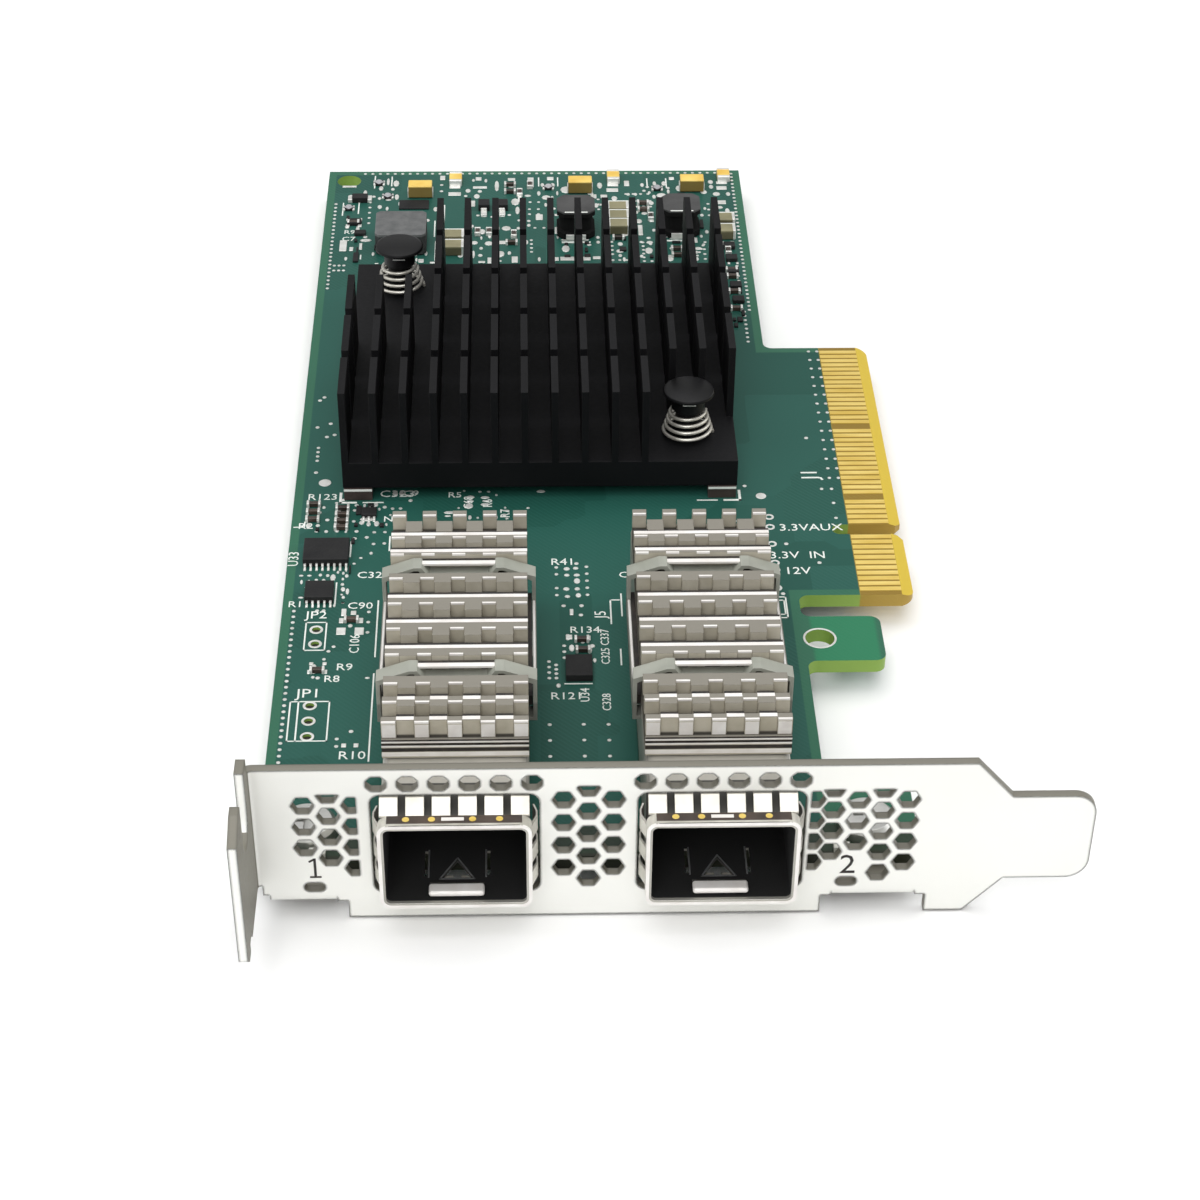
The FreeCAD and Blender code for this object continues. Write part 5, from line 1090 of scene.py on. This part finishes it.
def buildPadLines():
    # painted highlights on the edges of the drum inductors, pin necks, capacitors and front feet, a pale line
    # at the foot of each drum inductor, and the print round the front feet
    mesh = bmesh.new()
    look = drumLines
    for x, y in look["spots"]:
        front, base, wide = y - look["front"], y - look["base"], look["half"] + look["baseMore"]
        addBlock(mesh, (x - look["half"], front, look["top"] - look["sunk"]),
                 (x + look["half"], front + look["depth"], look["top"] + look["rise"]), look["bevel"])
        addBlock(mesh, (x - wide, base - look["baseDepth"], 0), (x + wide, base, look["baseHeight"]))
    look = neckGlint
    for x, y in pushPin["spots"]:
        front = y - look["front"]
        addBlock(mesh, (x - look["half"], front - look["proud"], look["level"]),
                 (x + look["half"], front + look["depth"], look["level"] + look["height"]), look["bevel"])
    look = capacitorLine
    for low, high in islandBoxes("ceramic_capacitors"):
        addBlock(mesh, (low[0], high[1] - look["depth"], high[2] - look["sunk"]),
                 (high[0], high[1] + look["proud"], high[2] + look["rise"]), look["bevel"])
    look, edge = footLines, footLines["edge"]
    for low, high in islandBoxes("corner_pads"):
        if low[1] > look["behind"]:
            continue
        outer, side = (low[0], 1) if low[0] < look["middle"] else (high[0], -1)
        addBlock(mesh, (low[0], low[1] - edge["proud"], high[2] - edge["low"]),
                 (high[0], low[1] + edge["depth"], high[2] - edge["high"]), edge["bevel"])
        for points, width in ((look["hook"], look["hookWidth"]), (look["dash"], look["dashWidth"])):
            addLine(mesh, [(outer + side * x, low[1] + y) for x, y in points], width)
    finishPiece(mesh, "highlights_and_foot_print", "printAndHighlight")


mouthLook = {"front": -3.1, "half": 7.2, "low": -0.2, "top": 10.0, "corner": 1.05, "rim": 0.34,
             "proud": 0.04, "depth": 0.1, "edge": 0.02, "rise": 0.03,
             "roll": {"half": 2.65, "y": (-2.5, -1.1), "z": (0.55, 1.2), "bevel": 0.28, "segments": 4},
             "band": {"half": 6.3, "y": (-2.72, -1.62), "sunk": 0.05},
             "dot": {"spots": (-4.5, -2.1, 1.7, 4.2), "radius": 0.34, "sides": 12},
             "ridge": {"x": (-1.2, 0.9), "y": (-2.37, -1.92), "rise": 0.06},
             "triangle": [(-1.65, 0.3), (0.0, 3.3), (1.65, 0.3), (-1.65, 0.3)], "triangleWidth": 0.14,
             "slit": {"x": 2.75, "y": (0.6, 4.4), "width": 0.16}, "floor": 0.38, "markHeight": 0.05}


def buildMouths():
    # cage rims, rolls and ridges in a painted highlight, the collars' dark bands with gilt dots, and painted
    # shade on the cuts of the floor latches
    look, roll, band, dot = mouthLook, mouthLook["roll"], mouthLook["band"], mouthLook["dot"]
    ridge, slit, top = mouthLook["ridge"], mouthLook["slit"], mouthLook["top"]
    rims, bands, dots, marks = (bmesh.new() for kind in range(4))
    for centre in sinkLook["centres"]:
        addFrame(rims, (centre - look["half"], look["low"]), (centre + look["half"], top), look["corner"],
                 look["rim"], look["front"] - look["proud"], look["front"] + look["depth"])
        addBlock(rims, (centre - roll["half"], roll["y"][0], roll["z"][0]),
                 (centre + roll["half"], roll["y"][1], roll["z"][1]), roll["bevel"], roll["segments"])
        addBlock(rims, (centre + ridge["x"][0], ridge["y"][0], top),
                 (centre + ridge["x"][1], ridge["y"][1], top + ridge["rise"]), look["edge"])
        addBlock(bands, (centre - band["half"], band["y"][0], top - band["sunk"]),
                 (centre + band["half"], band["y"][1], top + look["rise"]), look["edge"])
        for x in dot["spots"]:
            addDisc(dots, centre + x, sum(band["y"]) / 2, top + look["rise"], dot["radius"], look["rise"],
                    dot["sides"])
        addLine(marks, [(centre + x, y) for x, y in look["triangle"]], look["triangleWidth"], look["floor"],
                look["markHeight"])
        for side in (-1, 1):
            addLine(marks, [(centre + side * slit["x"], y) for y in slit["y"]], slit["width"], look["floor"],
                    look["markHeight"])
    finishPiece(rims, "mouth_rims", "line")
    finishPiece(bands, "collar_bands", "passive")
    finishPiece(dots, "collar_dots", "gold")
    finishPiece(marks, "latch_marks", "ferrite")


buildMouths()
buildSinkLines()
buildPadLines()
print("bright edges ready")


# logic chips with bent leads, and the small moulded parts at the rear
logicChips = [
    # centre x, centre y, width, depth, height, leads a side, lead pitch
    (4.3, 54.5, 5.0, 4.2, 1.1, 8, 0.65), (3.9, 47.1, 3.1, 3.1, 0.95, 5, 0.64),
    (8.7, 62.6, 1.7, 1.5, 0.6, 3, 0.6),
]
smallMouldings = [
    # centre x, centre y, width, depth, height
    (4.5, 137.6, 2.1, 1.3, 0.8), (21.2, 135.4, 1.5, 1.7, 0.95), (23.65, 135.4, 1.5, 1.7, 0.95),
    (4.0, 131.2, 1.8, 1.3, 0.5), (11.8, 136.2, 4.0, 2.4, 0.25), (53.5, 124.3, 1.5, 1.3, 0.55),
    (53.6, 121.0, 1.5, 1.3, 0.55), (53.6, 117.6, 1.5, 1.3, 0.55), (53.7, 113.9, 1.5, 1.3, 0.55),
    (53.8, 110.2, 1.5, 1.3, 0.55), (4.9, 128.2, 1.5, 1.0, 0.5), (40.9, 124.2, 1.0, 0.9, 0.5),
]
mouldingLeads = [
    # low corner and high corner of each bright lead on them
    ((2.9, 137.0, 0), (3.5, 138.2, 0.5)), ((5.5, 137.0, 0), (6.1, 138.2, 0.5)),
    ((20.8, 132.9, 0), (21.6, 134.6, 0.3)), ((23.25, 132.9, 0), (24.05, 134.6, 0.3)),
    ((2.9, 130.1, 0), (3.4, 130.7, 0.2)), ((4.5, 130.1, 0), (5.0, 130.7, 0.2)),
    ((2.9, 131.8, 0), (3.4, 132.4, 0.2)), ((4.5, 131.8, 0), (5.0, 132.4, 0.2)),
]
tinyBodies = [
    # centre x, centre y, size x, size y of the smallest dark bodies
    (33, 141.6, 0.5, 0.5), (11.3, 140.5, 0.3, 0.7), (8.2, 138.8, 0.6, 1.1), (47.9, 138.7, 1, 0.7),
    (32.3, 138.4, 0.4, 0.5), (3.1, 132.6, 0.4, 0.7), (50.2, 130.4, 0.5, 2.2), (3.7, 131.5, 0.6, 0.7),
    (4.8, 131.5, 0.3, 0.7), (54, 130.8, 0.6, 0.7), (39.8, 129.4, 0.5, 0.9), (53.3, 127.5, 0.7, 1.1),
    (53.9, 127.8, 0.4, 0.7), (46.8, 127.3, 1.2, 0.6), (32.7, 126.9, 0.8, 0.6), (34.5, 126.9, 0.4, 0.6),
    (39.8, 126.5, 0.4, 0.6), (4.4, 126.3, 0.4, 0.6), (46.6, 125.5, 1.1, 0.4), (34.8, 125.4, 0.6, 0.4),
    (32.1, 125.1, 0.5, 0.4), (7, 124.4, 0.2, 1.1), (4.7, 123.6, 0.2, 1.5), (39.5, 123.7, 0.9, 0.9),
    (34.7, 123.5, 0.4, 0.9), (4.6, 121.8, 0.7, 2.3), (34.8, 122, 0.8, 0.6), (32.2, 121.9, 0.8, 0.4),
    (43.2, 121.7, 0.5, 0.6), (8.8, 64.3, 0.7, 0.6), (7.5, 63.3, 0.6, 1.6), (5.8, 61.3, 0.4, 0.5),
    (7.3, 60.4, 0.4, 0.5), (10.2, 60.3, 0.5, 0.6), (5.8, 60.1, 0.5, 0.5), (3, 59.5, 0.4, 0.5),
    (7.1, 57.2, 0.4, 0.9), (7, 51.7, 0.2, 1.4), (54.2, 112.5, 0.4, 0.8), (53, 112.6, 0.5, 0.4),
    (54.2, 107, 0.4, 1.2), (53.7, 105.4, 0.7, 1), (53, 105.4, 0.4, 0.6), (53.1, 104, 0.5, 0.8),
]
chipLook = {"lift": 0.1, "bevel": 0.07}
chipLead = {"inside": 0.05, "reach": 0.75, "footHalf": 0.14, "footHeight": 0.16, "footBevel": 0.03,
            "legHalf": 0.13, "legLift": 0.1, "legShare": 0.5, "legBevel": 0.04}
mouldingLook = {"bevel": 0.08, "tinyHeight": 0.3, "tinyBevel": 0.05, "leadBevel": 0.04}
domedParts = {"spots": [(6.9, 142.3), (8.2, 138.5), (3.1, 135.2), (29.9, 140.9), (44.7, 140.5)],
              "size": 1.12, "height": 0.4, "bevel": 0.12,
              "dome": {"radius": 0.56, "top": 0.336, "sunk": 0.05, "height": 0.22, "sides": 16},
              "lead": {"out": 0.22, "width": 0.3, "depth": 0.75, "height": 0.3, "bevel": 0.05}}


def addChipLead(mesh, x, edge, side, height):
    # a foot on the board and a leg up to the middle of the chip's side
    look = chipLead
    shoulder, foot = edge - side * look["inside"], edge + side * look["reach"]
    knee = (shoulder + foot) / 2
    near, far = sorted((knee, foot))
    addBlock(mesh, (x - look["footHalf"], near, 0), (x + look["footHalf"], far, look["footHeight"]),
             look["footBevel"])
    near, far = sorted((shoulder, knee))
    addBlock(mesh, (x - look["legHalf"], near, look["legLift"]),
             (x + look["legHalf"], far, height * look["legShare"]), look["legBevel"])


def addDomed(bodies, leads, domes, x, y):
    # a square body with a dome on it and a lead at each corner
    look, dome, lead, half = domedParts, domedParts["dome"], domedParts["lead"], domedParts["size"] / 2
    addBody(bodies, x, y, look["size"], look["size"], 0, look["height"], look["bevel"])
    addDisc(domes, x, y, look["height"] - dome["sunk"], dome["radius"], dome["height"], dome["sides"],
            dome["top"])
    for side in (-1, 1):
        for end in (-1, 1):
            leadX = x + side * (half + lead["out"] - lead["width"] / 2)
            leadY = y + end * (half - lead["depth"] / 2)
            addBody(leads, leadX, leadY, lead["width"], lead["depth"], 0, lead["height"], lead["bevel"])


def buildMouldings():
    bodies, leads, domes = bmesh.new(), bmesh.new(), bmesh.new()
    for x, y, width, depth, height, count, pitch in logicChips:
        addBody(bodies, x, y, width, depth, chipLook["lift"], height, chipLook["bevel"])
        for step in range(count):
            for side in (-1, 1):
                addChipLead(leads, x + (step - (count - 1) / 2) * pitch, y + side * depth / 2, side, height)
    for x, y, width, depth, height in smallMouldings:
        addBody(bodies, x, y, width, depth, 0, height, mouldingLook["bevel"])
    for x, y, width, depth in tinyBodies:
        addBody(bodies, x, y, width, depth, 0, mouldingLook["tinyHeight"], mouldingLook["tinyBevel"])
    for low, high in mouldingLeads:
        addBlock(leads, low, high, mouldingLook["leadBevel"])
    for x, y in domedParts["spots"]:
        addDomed(bodies, leads, domes, x, y)
    finishPiece(bodies, "moulded_cases", "chip_plastic", replaced=("logic_chips",))
    finishPiece(leads, "bent_leads", "tin", replaced=("logic_chip_leads",))
    finishPiece(domes, "part_domes", "dome")


buildMouldings()
print("chips ready")


# room, light and camera
studio = {"floorLevel": -4.3, "floorSize": 3.0, "floorTone": 0.92, "seenTone": 1.0, "toneStep": 0.01,
          "cloud": 3.0, "rough": 0.9}


def buildFloor():
    material, tree, shader = startMaterial("studioFloor")
    shader.inputs["Roughness"].default_value = studio["rough"]
    shader.inputs["Specular IOR Level"].default_value = 0.0
    noise = noiseNode(tree, addNode(tree, "ShaderNodeTexCoord").outputs["Object"], studio["cloud"])
    tones = [(tone,) * 3 for tone in (studio["floorTone"], studio["floorTone"] + studio["toneStep"])]
    paths = addNode(tree, "ShaderNodeLightPath")
    colour = mixColour(tree, paths.outputs["Is Camera Ray"], mixColour(tree, noise, *tones),
                       (studio["seenTone"],) * 3)
    tree.links.new(colour, shader.inputs["Base Color"])
    mesh = bmesh.new()
    bmesh.ops.create_grid(mesh, x_segments=2, y_segments=2, size=studio["floorSize"])
    bmesh.ops.translate(mesh, verts=mesh.verts, vec=(0, 0, studio["floorLevel"] * mm))
    data = bpy.data.meshes.new("studioFloor")
    mesh.to_mesh(data)
    mesh.free()
    floor = bpy.data.objects.new("studioFloor", data)
    data.materials.append(material)
    scene.collection.objects.link(floor)


lamps = [
    {"name": "overheadBox", "at": (-0.05, 0.05, 0.75), "aim": (0, 0, 0), "size": 0.9, "power": 4.1},
    {"name": "frontBox", "at": (-0.1, -0.6, 0.55), "aim": (0, -0.04, 0), "size": 0.5, "power": 2.9},
    {"name": "leftBox", "at": (-0.7, -0.1, 0.4), "aim": (0, 0, 0), "size": 0.5, "power": 1.2},
    {"name": "rightBox", "at": (0.65, 0.1, 0.4), "aim": (0, 0, 0), "size": 0.5, "power": 1.2},
]


def addLamp(lamp):
    light = bpy.data.lights.new(lamp["name"], "AREA")
    light.shape = "SQUARE"
    light.size = lamp["size"]
    light.energy = lamp["power"]
    holder = bpy.data.objects.new(lamp["name"], light)
    holder.location = lamp["at"]
    direction = Vector(lamp["aim"]) - Vector(lamp["at"])
    holder.rotation_euler = direction.to_track_quat("-Z", "Y").to_euler()
    scene.collection.objects.link(holder)


skyLook = {"glossyShare": 0.35, "lit": 0.28, "seenMore": 0.72}


def buildWorld():
    # white where the camera sees it, dimmer in reflections, and a plain fill for the rest
    world = bpy.data.worlds.new("studioWorld")
    scene.world = world
    world.use_nodes = True
    tree = world.node_tree
    background = tree.nodes["Background"]
    paths = addNode(tree, "ShaderNodeLightPath")
    glossy = mathNode(tree, "MULTIPLY", paths.outputs["Is Glossy Ray"], skyLook["glossyShare"])
    seen = mathNode(tree, "MAXIMUM", paths.outputs["Is Camera Ray"], glossy)
    strength = mathNode(tree, "MULTIPLY_ADD", seen, skyLook["seenMore"], skyLook["lit"])
    background.inputs["Color"].default_value = (1, 1, 1, 1)
    tree.links.new(strength, background.inputs["Strength"])


lens = {"focal": 80.26, "sensor": 36, "clipStart": 0.01, "yaw": -2.246, "pitch": 39.925, "roll": -0.839,
        "at": (26.79, -190.27, 171.78), "shift": (-0.0101, 0.1522)}


def buildCamera():
    yaw, pitch, roll = (math.radians(lens[k]) for k in ("yaw", "pitch", "roll"))
    ahead = Vector((-math.sin(yaw) * math.cos(pitch), math.cos(yaw) * math.cos(pitch), -math.sin(pitch)))
    right = Vector((math.cos(yaw), math.sin(yaw), 0))
    down = ahead.cross(right)
    turnedRight = math.cos(roll) * right + math.sin(roll) * down
    turnedDown = -math.sin(roll) * right + math.cos(roll) * down
    data = bpy.data.cameras.new("cardCamera")
    data.lens = lens["focal"]
    data.sensor_width = lens["sensor"]
    data.shift_x, data.shift_y = lens["shift"]
    data.clip_start = lens["clipStart"]
    camera = bpy.data.objects.new("cardCamera", data)
    turn = Matrix((turnedRight, -turnedDown, -ahead)).transposed().to_4x4()
    camera.matrix_world = Matrix.Translation(place(*lens["at"])) @ turn
    scene.collection.objects.link(camera)
    scene.camera = camera


buildFloor()
for lamp in lamps:
    addLamp(lamp)
buildWorld()
buildCamera()
scene.view_settings.view_transform = "Standard"
print("studio ready")
